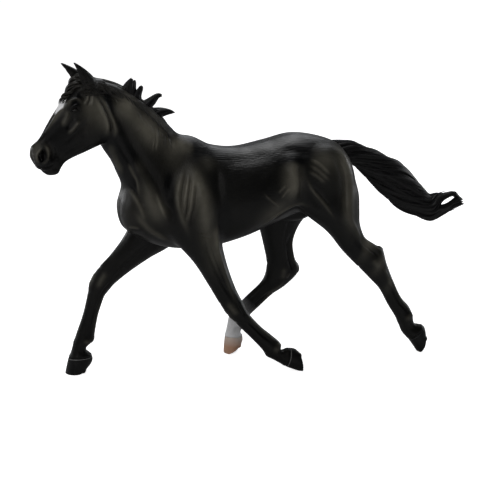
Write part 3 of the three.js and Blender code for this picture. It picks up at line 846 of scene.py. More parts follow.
def coat_finish():
    material, tree, shader = finish("satin coat", Specular_IOR_Level=0.4)
    # Olive over the raised muscles: partly the toy's paint, partly painted highlight.
    olive_and_highlight = placed(tree, AIRBRUSH, {"Base": BLACK, "Tint": OLIVE_AND_HIGHLIGHT, "Mask": attribute(tree, "airbrush")})
    marked = placed(tree, AIRBRUSH, {
        "Base": olive_and_highlight, "Tint": WHITE, "Mask": attribute(tree, "white"),
        "Mottle": 0.12, "Mottle scale": 900.0})
    gloss = placed(tree, SATIN, {"Smoothest": 0.32, "Roughest": 0.46})
    upright = placed(tree, HAIR_STROKES, {"Across": 2400.0, "Along": 240.0, "Lean": 0.1})
    lying = placed(tree, HAIR_STROKES, {"Across": 2400.0, "Along": 240.0, "Lean": 1.45})
    height = node(tree, "ShaderNodeMix", {0: attribute(tree, "lying"), 2: upright, 3: lying}).outputs[0]
    height = sum_of(tree, "MULTIPLY", height, attribute(tree, "hairy"))
    plug(tree, shader, height, 0.00012, Base_Color=marked, Roughness=gloss)
    return material


COAT = coat_finish()
print("coat:", COAT.name)

# %% [markdown]
# Hair and horn share the coat's effects with other numbers. The dusty hair on the crest and the forehead
# is the same paint with more olive in it. The eyes have a clear coat, the only high gloss on the toy.

# %% Hair, horn and eyes
DARK = (0.003, 0.003, 0.0032, 1)
DARK_TINT = (0.007, 0.007, 0.0072, 1)


def hair_finish(name, dusty):
    material, tree, shader = finish(name, Specular_IOR_Level=0.4)
    colour = placed(tree, AIRBRUSH, {
        "Base": (0.0022, 0.0021, 0.0023, 1), "Tint": dusty, "Mask": 0.5,
        "Mottle": 1.0, "Mottle scale": 700.0})
    gloss = placed(tree, SATIN, {"Smoothest": 0.34, "Roughest": 0.5, "Scale": 500.0})
    height = placed(tree, HAIR_STROKES, {"Across": 3200.0, "Along": 700.0, "Lean": 0.9})
    plug(tree, shader, height, 0.00008, Base_Color=colour, Roughness=gloss)
    return material


def horn_finish(name, base, tint, band, line_grey):
    """Horn with rings that follow the coronet, a tint towards it, and the painted line at it."""
    material, tree, shader = finish(name, Specular_IOR_Level=0.45)
    below = attribute(tree, "below_coronet")
    near = node(tree, "ShaderNodeMapRange", {
        "Value": below, "From Min": 0.0002, "From Max": band, "To Min": 1.0, "To Max": 0.0}).outputs[0]
    colour = placed(tree, AIRBRUSH, {
        "Base": base, "Tint": tint, "Mask": near, "Mottle": 0.35, "Mottle scale": 600.0})
    band_at, band_half = 0.28, 0.12  # mm below the coronet
    line = node(tree, "ShaderNodeMath", {0: below, 1: band_at, 2: band_half}, operation="COMPARE").outputs[0]
    line = sum_of(tree, "MULTIPLY", line, line_grey)
    colour = placed(tree, AIRBRUSH, {
        "Base": colour, "Tint": (0.2, 0.2, 0.2, 1), "Mask": line, "Mottle": 0.8, "Mottle scale": 1500.0})
    gloss = placed(tree, SATIN, {"Smoothest": 0.3, "Roughest": 0.46, "Scale": 700.0})
    rings = sum_of(tree, "MULTIPLY", below, 9.0)
    rings = sum_of(tree, "SINE", rings)
    plug(tree, shader, rings, 0.000005, Base_Color=colour, Roughness=gloss)
    return material


def eye_finish():
    material, tree, shader = finish("wet eye", Specular_IOR_Level=0.6, Coat_Weight=1.0, Coat_Roughness=0.03)
    colour = placed(tree, AIRBRUSH, {
        "Base": (0.002, 0.002, 0.002, 1), "Tint": (0.008, 0.005, 0.003, 1), "Mask": 0.5,
        "Mottle": 1.0, "Mottle scale": 1200.0})
    gloss = placed(tree, SATIN, {"Smoothest": 0.06, "Roughest": 0.12, "Scale": 900.0})
    plug(tree, shader, Base_Color=colour, Roughness=gloss)
    return material


HAIR = hair_finish("satin hair", (0.011, 0.011, 0.0115, 1))
DUSTY_HAIR = hair_finish("dusty hair", (0.040, 0.0385, 0.034, 1))
DARK_HORN = horn_finish("dark horn", DARK, DARK_TINT, 3.0, 0.8)
PLAIN_HORN = horn_finish("plain dark horn", DARK, DARK_TINT, 3.0, 0.12)
PALE_HORN = horn_finish("pale horn", (0.52, 0.30, 0.20, 1), (0.70, 0.61, 0.55, 1), 3.4, 0.0)
EYE = eye_finish()
print("finishes:", [m.name for m in (COAT, HAIR, DUSTY_HAIR, DARK_HORN, PLAIN_HORN, PALE_HORN, EYE)])

# %% [markdown]
# ## The skin's mesh
#
# The block of clay gives its surface as even quads. The head shows the finest work, so its quads are
# divided once more, and every point is then moved onto the true surface, which on the head is the finer
# block's.

# %% From clay to mesh
def distance(points):
    """How far points lie outside the surface, from the finer block where there is one."""
    found = body_clay.distance(points)
    fine = head_clay.holds(points)
    found[fine] = head_clay.distance(points[fine])
    return found


def outward(points, step=0.2):
    """The direction that leads straight out of the surface."""
    slopes = [distance(points + move) - distance(points - move) for move in np.eye(3) * step]
    slope = np.stack(slopes, 1)
    return slope / (np.linalg.norm(slope, axis=1, keepdims=True) + 1e-9)


def settled(points, rounds=2):
    """Points moved onto the surface."""
    for _ in range(rounds):
        points = points - distance(points)[:, None] * outward(points)
    return points


def mesh_of(name, points, faces):
    made = bpy.data.meshes.new(name)
    made.from_pydata(np.asarray(points).tolist(), [], np.asarray(faces).tolist())
    return made


points, quads = body_clay.skin()
rough = mesh_of("skin", points, quads[:, ::-1])
bm = bmesh.new()
bm.from_mesh(rough)
on_head = head_clay.holds(points, 2.0)
bmesh.ops.subdivide_edges(
    bm, edges=[e for e in bm.edges if on_head[e.verts[0].index] and on_head[e.verts[1].index]],
    cuts=1, use_grid_fill=True)
bmesh.ops.triangulate(bm, faces=bm.faces)
bm.to_mesh(rough)
bm.free()
skin_points = np.empty(len(rough.vertices) * 3)
rough.vertices.foreach_get("co", skin_points)
skin_points = settled(skin_points.reshape(-1, 3))
print("skin:", len(skin_points), "points,", len(rough.polygons), "triangles")

# %% [markdown]
# ## Strokes of the tool
#
# Veins, folds and the edges of muscles are drawn with strokes. A stroke is a line in one view of the
# horse. Its points are sent straight in until they touch the surface, and the mesh near the line then
# moves out, or in where the height is negative: by the full height on the line and by less and less over
# the stroke's width.

# %% Laying a stroke on the surface
VIEWS = {  # the way of looking, and where a point (a, b) of the view starts
    "side": ((0, 1, 0), lambda a, b: (a, 0 * a - 19, b)),
    "above": ((0, 0, -1), lambda a, b: (a, b, 0 * a + 111)),
    "below": ((0, 0, 1), lambda a, b: (a, b, 0 * a + 70)),
    "front": ((1, 0, 0), lambda a, b: (0 * a - 80, a, b)),
    "behind": ((-1, 0, 0), lambda a, b: (0 * a + 50, a, b)),
}


def drawn(line, width):
    """A smooth curve through a stroke's points, in steps that suit its width."""
    line = np.array(line, float)
    length = np.linalg.norm(np.diff(line, axis=0), axis=1).sum()
    return through(line, np.linspace(0, 1, int(length / max(0.2, width / 3)) + 3))


def sent(starts, direction, steps=40):
    """Points sent along a direction until they touch the surface. Those that miss it are left out."""
    points = np.array(starts, float)
    for _ in range(steps):
        points += 0.9 * np.clip(distance(points), 0, 3)[:, None] * direction
    return points[np.abs(distance(points)) < 0.1]


def laid(view, width, line, mirror=1, on_head=False):
    """A stroke's curve on the surface: as drawn, or mirrored."""
    direction, place = VIEWS[view]
    flip = np.array([1, mirror, 1])
    starts = np.stack(place(*drawn(line, width).T), 1) * flip
    direction = np.array(direction, float) * flip
    if on_head:
        starts, direction = turned(starts), direction @ TURN.T
    return sent(starts, direction)

print("views:", list(VIEWS))

# %% [markdown]
# A sculptor's brush does the same by hand: a soft ridge or groove along a line, as wide as the brush.
# Kept as a table of lines, each stroke can be read, changed and pressed again.

# %% Pressing strokes
def press(total, points, normals, order, curve, width, height):
    """Adds to the total how far the stroke moves each point that faces it.

    The order is that of the points from front to back, so that a stroke looks only at its own stretch.
    """
    if len(curve) < 3:
        return
    run = np.gradient(curve, axis=0)
    step = np.linalg.norm(run, axis=1) + 1e-9
    half = step.sum() / 2
    ending = max(width, 0.5 * half)
    room = 2.4 * width + 0.5 * ending
    stretch = [curve[:, 0].min() - room, curve[:, 0].max() + room]
    first, last = np.searchsorted(points[:, 0], stretch, sorter=order)
    close = order[first:last]
    close = close[((points[close] > curve.min(0) - room) & (points[close] < curve.max(0) + room)).all(1)]
    away = points[close, None].astype(np.float32) - curve[None].astype(np.float32)
    nearest = (away**2).sum(-1).argmin(1)
    away = away[np.arange(len(close)), nearest]
    past = (away * (run / step[:, None])[nearest]).sum(1)
    squared = (away**2).sum(1) - past**2
    place = (np.cumsum(step) - step[0])[nearest] + past - half
    over = np.clip(np.abs(place) - half + ending, 0, None) / ending
    facing = (normals[close] * outward(curve)[nearest]).sum(1)
    gate = np.clip((facing - 0.1) / 0.5, 0, 1)
    total[close] += height * gate * np.exp(-squared / width**2 - 1.6 * over**2)


def curves_of(rows, on_head=False):
    """A table's strokes as curves on the surface, with width and height.

    Both sides get a stroke, unless its name ends in < or it runs along the middle.
    """
    for name, view, width, height, line in rows:
        flat = view in ("above", "below", "front", "behind")
        middle = flat and max(abs(p[0 if view in ("front", "behind") else 1]) for p in line) < 0.05
        for mirror in [1] if middle or name.endswith("<") else [1, -1]:
            yield laid(view, width, line, mirror, on_head), width, height


def pressed(points, normals, curves):
    """How far all the curves together move each point."""
    total = np.zeros(len(points))
    order = np.argsort(points[:, 0])
    for curve, width, height in curves:
        press(total, points, normals, order, curve, width, height)
    return total


BACK_LINE = [(-10, 0), (0, 0), (10, 0)]
print("a line along the back:", len(laid("above", 1.0, BACK_LINE)), "points on the surface")

# %% [markdown]
# ## What is drawn on the trunk and the neck
#
# All lines are on the left side, seen from the side as [x, z], and are mirrored onto the right. A name
# that ends in < belongs to the left side alone.

# %% Broad strokes
BROAD = [
    ("triceps", "side", 1.8, 0.5,
     [(-23.4, 73.6), (-22.4, 70.4), (-21.0, 66.0), (-20.2, 61.3), (-19.8, 56.2), (-19.3, 53.0)]),
    ("before the shoulder", "side", 1.8, -0.4,
     [(-29.7, 73.0), (-30.8, 67.4), (-30.9, 61.8), (-30.4, 56.5)]),
    ("hollow before the shoulder", "side", 1.5, -0.5,
     [(-33.6, 64.5), (-32.6, 62.2), (-31.6, 59.9), (-31.2, 57.4), (-30.7, 55.3)]),
    ("behind the triceps", "side", 1.4, -0.6,
     [(-15.4, 73.4), (-14.9, 70.3), (-15.0, 65.6), (-15.0, 60.0), (-15.0, 53.0)]),
    ("arm's band", "side", 1.9, 0.5,
     [(-42.9, 76.9), (-41.4, 73.6), (-40.0, 69.6), (-38.3, 65.7), (-37.1, 62.3), (-36.2, 59.4)]),
    ("behind the band", "side", 1.5, -0.5,
     [(-40.1, 76.3), (-37.1, 71.9), (-35.0, 68.2), (-34.1, 64.5), (-32.7, 60.9)]),
    ("flank", "side", 2.0, 0.75, [(9.4, 73.6), (11.0, 70.6), (11.7, 67.4), (11.5, 64.4), (10.2, 61.4)]),
    ("behind the flank", "side", 1.5, -0.7,
     [(13.9, 73.9), (13.7, 70.3), (13.7, 65.9), (14.3, 61.2), (15.3, 58.3)]),
    ("before the hip", "side", 1.8, -0.4, [(8.1, 76.4), (12.4, 76.6), (17.5, 75.3)]),
    ("before the thigh", "side", 1.3, -0.4, [(16.3, 64.3), (18.2, 60.3), (20.4, 56.9)]),
    ("hamstring", "side", 1.9, 0.55,
     [(30.1, 75.3), (30.9, 70.8), (32.3, 66.1), (32.1, 62.3), (31.3, 57.4), (31.3, 52.9), (32.6, 48.4)]),
    ("before the hamstring", "side", 1.4, -0.5,
     [(26.1, 75.4), (28.0, 70.5), (29.1, 64.1), (28.5, 58.5), (28.6, 53.6)]),
    ("withers", "side", 2.4, 0.4, [(-27.6, 80.4), (-25.0, 80.2), (-21.0, 78.6)]),
    ("loin", "side", 2.6, -0.35, [(-12.0, 74.0), (-4.0, 74.4), (4.0, 75.6)]),
    ("crest", "side", 2.4, 0.5,
     [(-45.8, 96.6), (-42.9, 92.3), (-40.0, 88.6), (-37.0, 85.2), (-34.6, 81.4)]),
    ("neck's valley", "side", 1.5, -0.6,
     [(-50.2, 97.0), (-48.7, 93.6), (-46.3, 89.4), (-44.3, 85.0), (-42.0, 80.4), (-39.0, 75.5),
      (-36.2, 70.9)]),
    ("windpipe", "side", 1.4, 0.4, [(-49.9, 82.7), (-47.8, 77.4), (-45.4, 71.6)]),
    ("between the breasts", "front", 1.0, -0.35, [(0, 66.0), (0, 61.0), (0, 56.0), (0, 51.0)]),
    ("between the hams", "behind", 1.5, -1.2, [(0, 74.0), (0, 69.0), (0, 64.0), (0, 58.0)]),
    ("back's furrow", "above", 1.6, -0.25, [(-14.0, 0), (0, 0), (12.0, 0), (24.0, 0)]),
    ("croup's cleft", "above", 1.3, -0.45, [(14.0, 0), (20.0, 0), (26.0, 0), (30.0, 0)]),
]
print("broad strokes:", len(BROAD))

# %% [markdown]
# The fine strokes are pressed after the broad ones: veins, folds of skin, and the short hair combed down
# from the crest.

# %% Fine strokes
FINE = [
    ("first fold", "side", 0.75, 0.5,
     [(-26.4, 71.4), (-27.6, 69.2), (-28.6, 66.2), (-29.0, 63.2), (-28.5, 60.0), (-27.5, 56.2),
      (-26.3, 52.9)]),
    ("first groove", "side", 0.45, -0.55,
     [(-25.6, 71.0), (-26.4, 68.7), (-27.5, 64.7), (-28.0, 61.3), (-27.6, 58.1)]),
    ("second groove", "side", 0.45, -0.5,
     [(-24.0, 70.3), (-25.0, 66.0), (-25.8, 62.6), (-26.3, 59.2), (-26.8, 56.8)]),
    ("second fold", "side", 0.55, 0.4, [(-24.8, 70.2), (-25.9, 66.3), (-26.8, 63.2), (-27.2, 59.6)]),
    ("third fold", "side", 0.6, 0.4,
     [(-23.0, 69.6), (-24.2, 65.4), (-24.9, 61.8), (-25.7, 58.6), (-26.5, 55.9)]),
    ("third groove", "side", 0.6, -0.5,
     [(-22.2, 68.0), (-23.2, 64.0), (-23.7, 61.0), (-24.5, 58.6), (-25.5, 55.8)]),
    ("band's edge", "side", 0.5, 0.3, [(-35.6, 65.5), (-34.8, 62.9), (-34.1, 60.4), (-33.2, 57.6)]),
    ("breast's lower edge", "side", 0.8, 0.25,
     [(-42.2, 59.0), (-40.3, 55.9), (-37.7, 53.0), (-34.2, 50.5), (-31.4, 48.9)]),
    ("armpit's fold", "side", 0.35, 0.25, [(-44.1, 53.9), (-43.0, 54.0), (-41.4, 53.7)]),
    ("breast's upper edge", "side", 0.55, 0.32,
     [(-43.6, 66.2), (-42.8, 65.0), (-41.5, 62.4), (-40.6, 60.0), (-39.5, 56.2)]),
    ("above the breast", "side", 0.6, -0.42, [(-43.0, 67.4), (-41.9, 65.6), (-40.8, 63.8), (-40.0, 61.4)]),
    ("elbow crease", "side", 0.35, -0.28, [(-22.1, 52.1), (-20.6, 51.9), (-19.1, 51.3)]),
    ("second elbow crease", "side", 0.35, -0.25, [(-21.7, 50.8), (-20.2, 50.6), (-18.8, 50.1)]),
    ("belly vein", "side", 0.3, 0.24, [(0.3, 63.4), (2.5, 61.3), (5.6, 58.8)]),
    ("flank crease", "side", 0.35, 0.2, [(6.3, 61.8), (8.1, 63.7), (9.2, 64.6)]),
    ("second flank crease", "side", 0.35, 0.2, [(5.2, 63.6), (6.6, 64.9), (7.7, 65.8)]),
    ("belly fold", "side", 0.55, 0.38,
     [(0.4, 52.4), (3.8, 54.4), (7.2, 56.4), (10.5, 58.0), (13.6, 58.6), (15.6, 58.0)]),
    ("under the belly fold", "side", 0.5, -0.35, [(4.4, 53.5), (8.7, 56.0), (12.4, 57.4), (15.5, 56.3)]),
    ("thigh vein", "side", 0.45, 0.36,
     [(15.9, 66.8), (17.6, 63.4), (20.0, 60.6), (22.4, 57.7), (24.9, 54.1)]),
    ("behind the thigh vein", "side", 0.45, -0.3, [(18.4, 64.2), (20.8, 61.2), (23.4, 58.0)]),
    ("first of the fan", "side", 0.5, 0.26, [(17.9, 73.5), (20.7, 71.7), (23.7, 68.8)]),
    ("second of the fan", "side", 0.5, 0.26, [(17.3, 71.6), (20.0, 69.8), (23.3, 66.8)]),
    ("third of the fan", "side", 0.5, 0.26, [(16.7, 69.7), (19.3, 68.2), (21.9, 65.9)]),
    ("ham's line", "side", 0.5, -0.35,
     [(27.3, 74.6), (29.4, 69.6), (30.1, 64.0), (29.9, 58.0), (30.2, 53.0)]),
    ("jugular", "side", 0.7, -0.5,
     [(-48.0, 84.4), (-45.8, 79.8), (-43.6, 75.3), (-41.9, 70.9), (-41.0, 66.0)]),
    ("throat strand", "side", 0.5, 0.3, [(-44.1, 75.8), (-42.5, 71.9), (-41.2, 69.0), (-40.9, 65.1)]),
    ("first crest hair", "side", 0.28, 0.2, [(-35.6, 85.7), (-35.1, 82.4), (-35.7, 79.3)]),
    ("second crest hair", "side", 0.28, 0.2, [(-34.0, 85.6), (-33.9, 82.4), (-34.5, 79.2)]),
    ("between the crest hairs", "side", 0.3, -0.25, [(-34.9, 85.7), (-34.5, 82.4), (-35.1, 79.2)]),
    ("third crest hair", "side", 0.28, 0.12, [(-37.9, 87.2), (-37.3, 84.6), (-37.5, 82.3)]),
    ("fourth crest hair", "side", 0.28, 0.12, [(-32.3, 84.6), (-31.8, 82.3), (-32.0, 80.6)]),
    ("fifth crest hair", "side", 0.28, 0.12, [(-30.4, 83.4), (-29.7, 81.4), (-29.6, 79.9)]),
]
CREST_LINE = [(-53.6, 100.2), (-49.4, 98.2), (-44.2, 95.0), (-38.2, 90.2), (-32.8, 85.8), (-28.2, 82.0)]
chance = np.random.default_rng(2)
for share in np.linspace(0.02, 1, 46):  # the mane's short hair, combed down from the crest
    x, z = through(CREST_LINE, share)
    lean = 1.1 - 1.0 * share + chance.uniform(-0.15, 0.15)
    long = chance.uniform(2.2, 4.6)
    bend = chance.uniform(-0.25, 0.25)
    middle = (x + (0.5 * lean + bend) * long, z - 0.4 * long)
    line = [(x, z), middle, (x + lean * long * 0.8, z - 0.9 * long)]
    FINE.append((f"combed hair {share:.2f} <", "side", 0.3, -0.17, line))
print("strokes:", len(BROAD), "broad,", len(FINE), "fine")

# %% [markdown]
# The legs stand in four poses but have the same build. So their strokes are drawn once, in a leg's own
# terms: how many levels up from the coronet (2 is the fetlock, 4 the cannon, 6 the knee or the foot of
# the hock), and how far across, from -1 in front to 1 behind.

# %% Strokes of the legs
LEG_STROKES = [  # name, legs, faces, width, height, line
    ("tendon groove", "leg", "outer inner", 0.42, -0.42, [(5.2, 0.3), (4, 0.3), (3.1, 0.36)]),
    ("tendon", "leg", "outer inner", 0.5, 0.22, [(5.4, 0.72), (4, 0.74), (2.9, 0.74)]),
    ("suspensory", "leg", "outer inner", 0.3, 0.16, [(4.6, 0.44), (3.7, 0.5), (3.0, 0.56)]),
    ("fetlock's side", "leg", "outer inner", 0.9, 0.26, [(2.4, 0.15), (2.1, 0.2), (1.8, 0.2)]),
    ("sesamoid", "leg", "outer inner", 0.7, 0.28, [(2.5, 0.7), (2.2, 0.74), (1.95, 0.74)]),
    ("ergot", "leg", "back", 0.6, 0.3, [(1.9, 0), (1.75, 0), (1.6, 0)]),
    ("fetlock's front", "leg", "front", 1.0, 0.15, [(2.4, 0), (2.1, 0), (1.8, 0)]),
    ("pastern's side", "leg", "outer inner", 0.8, -0.25, [(1.5, 0.1), (1.1, 0.1), (0.7, 0.1)]),
    ("pastern's hollow", "leg", "back", 0.9, -0.4, [(1.3, 0), (1.0, 0), (0.7, 0)]),
    ("crown", "leg", "outer inner", 0.42, 0.1, [(0.22, -0.9), (0.24, -0.3), (0.26, 0.3), (0.3, 0.9)]),
    ("crown's front", "leg", "front back", 0.42, 0.1, [(0.22, -0.8), (0.22, 0), (0.22, 0.8)]),
    ("knee's side", "fore", "outer inner", 0.8, 0.25, [(7.1, -0.4), (6.7, -0.35), (6.2, -0.3)]),
    ("knee's groove", "fore", "outer inner", 0.4, -0.3, [(6.9, 0.45), (6.3, 0.42), (5.7, 0.4)]),
    ("knee's bone", "fore", "back", 0.8, 0.3, [(6.8, 0.1), (6.45, 0.1), (6.1, 0.1)]),
    ("knee's front", "fore", "front", 1.1, 0.2, [(6.7, 0), (6.3, 0), (5.9, 0)]),
    ("knee's upper edge", "fore", "front", 0.5, -0.12, [(7.1, -0.6), (7.05, 0), (7.1, 0.6)]),
    ("knee's middle", "fore", "front", 0.35, -0.1, [(6.25, -0.7), (6.2, 0), (6.25, 0.7)]),
    ("knee's lower edge", "fore", "front", 0.5, -0.14, [(5.5, -0.6), (5.45, 0), (5.5, 0.6)]),
    ("forearm groove", "fore", "outer", 0.55, -0.42, [(10.2, 0.2), (9.3, 0.05), (8.4, 0.0), (7.4, 0.1)]),
    ("forearm's second groove", "fore", "outer", 0.5, -0.3,
     [(9.9, 0.35), (9.0, 0.3), (8.0, 0.28), (7.2, 0.3)]),
    ("forearm's band", "fore", "outer", 0.7, 0.19, [(10.0, -0.1), (9.2, -0.25), (8.3, -0.3), (7.5, -0.3)]),
    ("forearm's hind band", "fore", "outer", 0.7, 0.25,
     [(10.9, 0.72), (10.0, 0.66), (9.0, 0.58), (8.2, 0.5), (7.5, 0.42)]),
    ("forearm's inner groove", "fore", "inner", 0.6, -0.35,
     [(9.8, 0.2), (9.0, 0.1), (8.0, 0.1), (7.2, 0.15)]),
    ("chestnut", "fore", "inner", 0.5, 0.18, [(8.0, 0.25), (7.8, 0.25), (7.6, 0.25)]),
    ("elbow", "fore", "outer", 1.3, 0.4, [(10.6, 0.62), (10.2, 0.7), (9.9, 0.66)]),
    ("hollow of the hock", "hind", "outer inner", 0.8, -0.75,
     [(9.4, 0.5), (8.6, 0.52), (7.9, 0.5), (7.3, 0.42)]),
    ("pit of the hock", "hind", "outer inner", 0.6, -0.2, [(7.75, 0.52), (7.5, 0.52), (7.3, 0.48)]),
    ("achilles", "hind", "outer inner", 0.6, 0.3, [(10.0, 0.72), (9.2, 0.8), (8.2, 0.84), (7.4, 0.84)]),
    ("point of the hock", "hind", "back", 0.9, 0.35, [(7.6, 0), (7.3, 0), (7.0, 0)]),
    ("hock's bone", "hind", "outer inner", 0.8, 0.26, [(7.3, -0.1), (6.9, -0.05), (6.5, 0.05)]),
    ("hock's fold", "hind", "front", 0.6, -0.16, [(7.7, -0.6), (7.6, 0), (7.7, 0.6)]),
    ("hock's lower edge", "hind", "outer inner", 0.45, -0.12, [(6.4, -0.5), (6.2, 0), (6.1, 0.6)]),
    ("splint", "hind", "outer inner", 0.4, 0.2, [(6.2, 0.4), (5.4, 0.4), (4.8, 0.38)]),
    ("gaskin groove", "hind", "outer", 0.7, -0.35, [(10.8, -0.1), (9.9, 0.05), (9.0, 0.15), (8.2, 0.2)]),
    ("gaskin's band", "hind", "outer", 0.8, 0.35, [(11.0, 0.3), (10.2, 0.44), (9.4, 0.52), (8.6, 0.6)]),
    ("gaskin's inner groove", "hind", "inner", 0.6, -0.3, [(10.6, 0.1), (9.8, 0.15), (8.8, 0.2)]),
    ("hind chestnut", "hind", "inner", 0.4, 0.3, [(6.9, 0.3), (6.75, 0.3), (6.6, 0.3)]),
]


def leg_curves(levels, faces, width, height, line):
    """A leg stroke's curves on the surface, one for each face."""
    last = len(levels) - 1
    top = [level[0] for level in levels].index("coronet")
    inner = -1 if levels[-1][3] > 0 else 1
    for face in faces.split():
        up, across = drawn(line, width / 2).T
        middle, depth, half, _ = level_curves(levels, (top - up) / last)
        if face in ("outer", "inner"):
            way = np.array([0, inner if face == "outer" else -inner, 0])
            starts = middle - across[:, None] * depth - way * (half[:, None] + 1.6)
        else:
            ahead = depth / np.linalg.norm(depth, axis=1, keepdims=True)
            way = -ahead if face == "front" else ahead
            sideways = [[0, 1, 0]] * (across * half)[:, None]
            starts = middle + sideways - way * (np.linalg.norm(depth, axis=1) + 1.6)[:, None]
        yield sent(starts, way), width, height


def all_leg_curves():
    for _, legs, *stroke in LEG_STROKES:
        for leg, levels in LEGS.items():
            if legs == "leg" or leg.startswith(legs):
                yield from leg_curves(levels, *stroke)


print("strokes of a leg:", len(LEG_STROKES))

# %% [markdown]
# The head's strokes are drawn on the straight head and turned with it. They are finer than the body's, as
# the block of clay is there, and most of them stand round the eye, the nostril and the cheek.

# %% Strokes of the head
HEAD_STROKES = [
    ("jaw's groove", "side", 0.5, -0.7,
     [(-54.3, 97.6), (-53.0, 95.4), (-51.6, 92.6), (-50.6, 90.2), (-49.9, 87.9), (-49.9, 85.3)]),
    ("jaw's ridge", "side", 0.55, 0.32,
     [(-53.2, 97.4), (-51.7, 94.8), (-50.1, 91.6), (-49.1, 88.9), (-48.6, 86.4), (-48.9, 84.4)]),
    ("cheek's rear edge", "side", 0.7, 0.35,
     [(-55.6, 97.2), (-54.4, 95.6), (-53.2, 93.0), (-52.0, 90.5), (-51.3, 87.8), (-51.6, 85.6)]),
    ("cheek's front edge", "side", 0.9, -0.3, [(-58.0, 91.4), (-59.6, 88.4), (-59.6, 84.6)]),
    ("under the ear", "side", 0.5, -0.4, [(-59.6, 99.4), (-57.4, 99.6), (-54.4, 99.3), (-52.2, 98.5)]),
    ("facial crest", "side", 0.5, 0.45, [(-61.2, 90.4), (-62.4, 89.0), (-63.5, 87.7), (-64.8, 86.9)]),
    ("under the crest", "side", 0.8, -0.22, [(-59.4, 89.4), (-61.4, 87.6), (-64.0, 85.4), (-66.4, 83.8)]),
    ("tear's ridge", "side", 0.7, 0.5, [(-64.6, 94.0), (-64.9, 92.3), (-65.6, 90.9), (-66.6, 89.4)]),
    ("behind the tear's ridge", "side", 0.8, -0.4,
     [(-62.6, 92.4), (-63.4, 91.0), (-64.3, 89.8), (-65.4, 88.4)]),
    ("brow", "side", 0.6, 0.35, [(-64.9, 95.6), (-63.4, 97.0), (-61.6, 97.3), (-60.2, 96.6)]),
    ("temple's hollow", "side", 0.9, -0.45, [(-60.8, 98.8), (-59.6, 98.0), (-58.6, 97.0)]),
    ("first temple line", "side", 0.35, 0.3, [(-57.5, 98.6), (-58.0, 97.2), (-59.2, 95.8)]),
    ("second temple line", "side", 0.35, 0.25, [(-56.2, 98.4), (-56.4, 96.8), (-56.8, 95.4)]),
    ("between the temple lines", "side", 0.35, -0.3, [(-56.9, 98.4), (-57.2, 96.8), (-58.2, 95.2)]),
    ("upper lid's fold", "side", 0.22, -0.2, [(-64.0, 95.0), (-63.0, 95.9), (-61.6, 96.2), (-60.4, 95.8)]),
    ("lower lid's fold", "side", 0.22, -0.15, [(-64.0, 93.3), (-62.8, 92.8), (-61.4, 93.2), (-60.6, 94.0)]),
    ("nostril's back rim", "side", 0.5, 0.35,
     [(-72.3, 83.3), (-71.7, 81.9), (-71.7, 80.0), (-72.5, 78.4), (-73.8, 77.7)]),
    ("nostril's front rim", "side", 0.4, 0.22,
     [(-73.8, 82.6), (-75.0, 81.3), (-75.4, 79.6), (-74.9, 78.2)]),
    ("behind the nostril", "side", 0.6, -0.45,
     [(-71.4, 84.2), (-70.3, 82.6), (-69.9, 80.6), (-70.7, 78.6)]),
    ("nose's wrinkle", "side", 0.25, -0.18, [(-69.6, 83.2), (-68.8, 81.6), (-69.0, 80.2)]),
    ("mouth", "side", 0.3, -0.22, [(-75.4, 77.0), (-73.8, 76.4), (-71.8, 76.4), (-70.2, 77.1)]),
    ("upper lip", "side", 0.5, 0.15, [(-75.0, 77.9), (-73.2, 77.3), (-71.4, 77.3)]),
    ("lower lip", "side", 0.5, 0.15, [(-74.2, 75.8), (-72.6, 75.5), (-71.0, 75.7)]),
    ("mouth's corner", "side", 0.45, 0.15, [(-68.8, 79.2), (-68.3, 78.4), (-68.6, 77.6)]),
    ("ear's rim", "side", 0.22, 0.14, [(-60.7, 102.6), (-61.2, 104.8), (-61.7, 106.8), (-62.1, 108.2)]),
    ("ear's back fold", "side", 0.4, -0.2, [(-57.4, 102.2), (-58.4, 104.4), (-59.8, 106.4)]),
    ("above the chin", "side", 0.6, -0.3, [(-73.4, 75.0), (-71.8, 74.7), (-68.6, 75.8)]),
    ("bars of the jaw", "side", 0.7, -0.3, [(-67.0, 79.6), (-62.8, 81.6), (-58.6, 83.4)]),
    ("jaw's lower edge", "side", 0.6, 0.18, [(-65.6, 78.6), (-61.6, 80.2), (-57.4, 82.2), (-53.6, 84.0)]),
    ("nasal bone", "above", 0.8, 0.2, [(-64.0, 1.5), (-68.0, 1.3), (-71.5, 1.1)]),
    ("bridge of the nose", "above", 0.7, -0.12, [(-64.0, 0), (-68.0, 0), (-71.5, 0)]),
    ("between the nostrils", "front", 0.7, -0.3, [(0, 82.2), (0, 80.6), (0, 79.0), (0, 77.6)]),
    ("between the jaws", "below", 1.1, -0.7, [(-65.0, 0), (-61.0, 0), (-57.0, 0), (-53.0, 0)]),
]
print("strokes of the head:", len(HEAD_STROKES))

# %% [markdown]
# All broad strokes are pressed at once, then all fine ones, along the new normals. Pressed one by one,
# each would be laid on what the last one left, and the order would show.

# %% The strokes pressed
def normals_of(mesh, points):
    """Blender's own normals of the mesh with its points at new places."""
    mesh.vertices.foreach_set("co", points.ravel())
    mesh.update()
    found = np.empty(len(points) * 3, np.float32)
    mesh.vertex_normals.foreach_get("vector", found)
    return found.reshape(-1, 3).astype(float)


normals = normals_of(rough, skin_points)
skin_points += pressed(skin_points, normals, curves_of(BROAD))[:, None] * normals
normals = normals_of(rough, skin_points)
fine_curves = [*curves_of(FINE), *all_leg_curves(), *curves_of(HEAD_STROKES, on_head=True)]
amount = pressed(skin_points, normals, fine_curves)
skin_points += amount[:, None] * normals
print("pressed by at most", round(float(np.abs(amount).max()), 2), "mm")

# %% [markdown]
# ## Hooves
#
# A hoof is a short loft of its own, cut flat where it stands. Under the toe of a lifted hoof the sole
# shows: it is hollow, with the wedge of the frog in it and two bulbs at the heel. A small, fine block of
# clay for each hoof keeps these crisp.

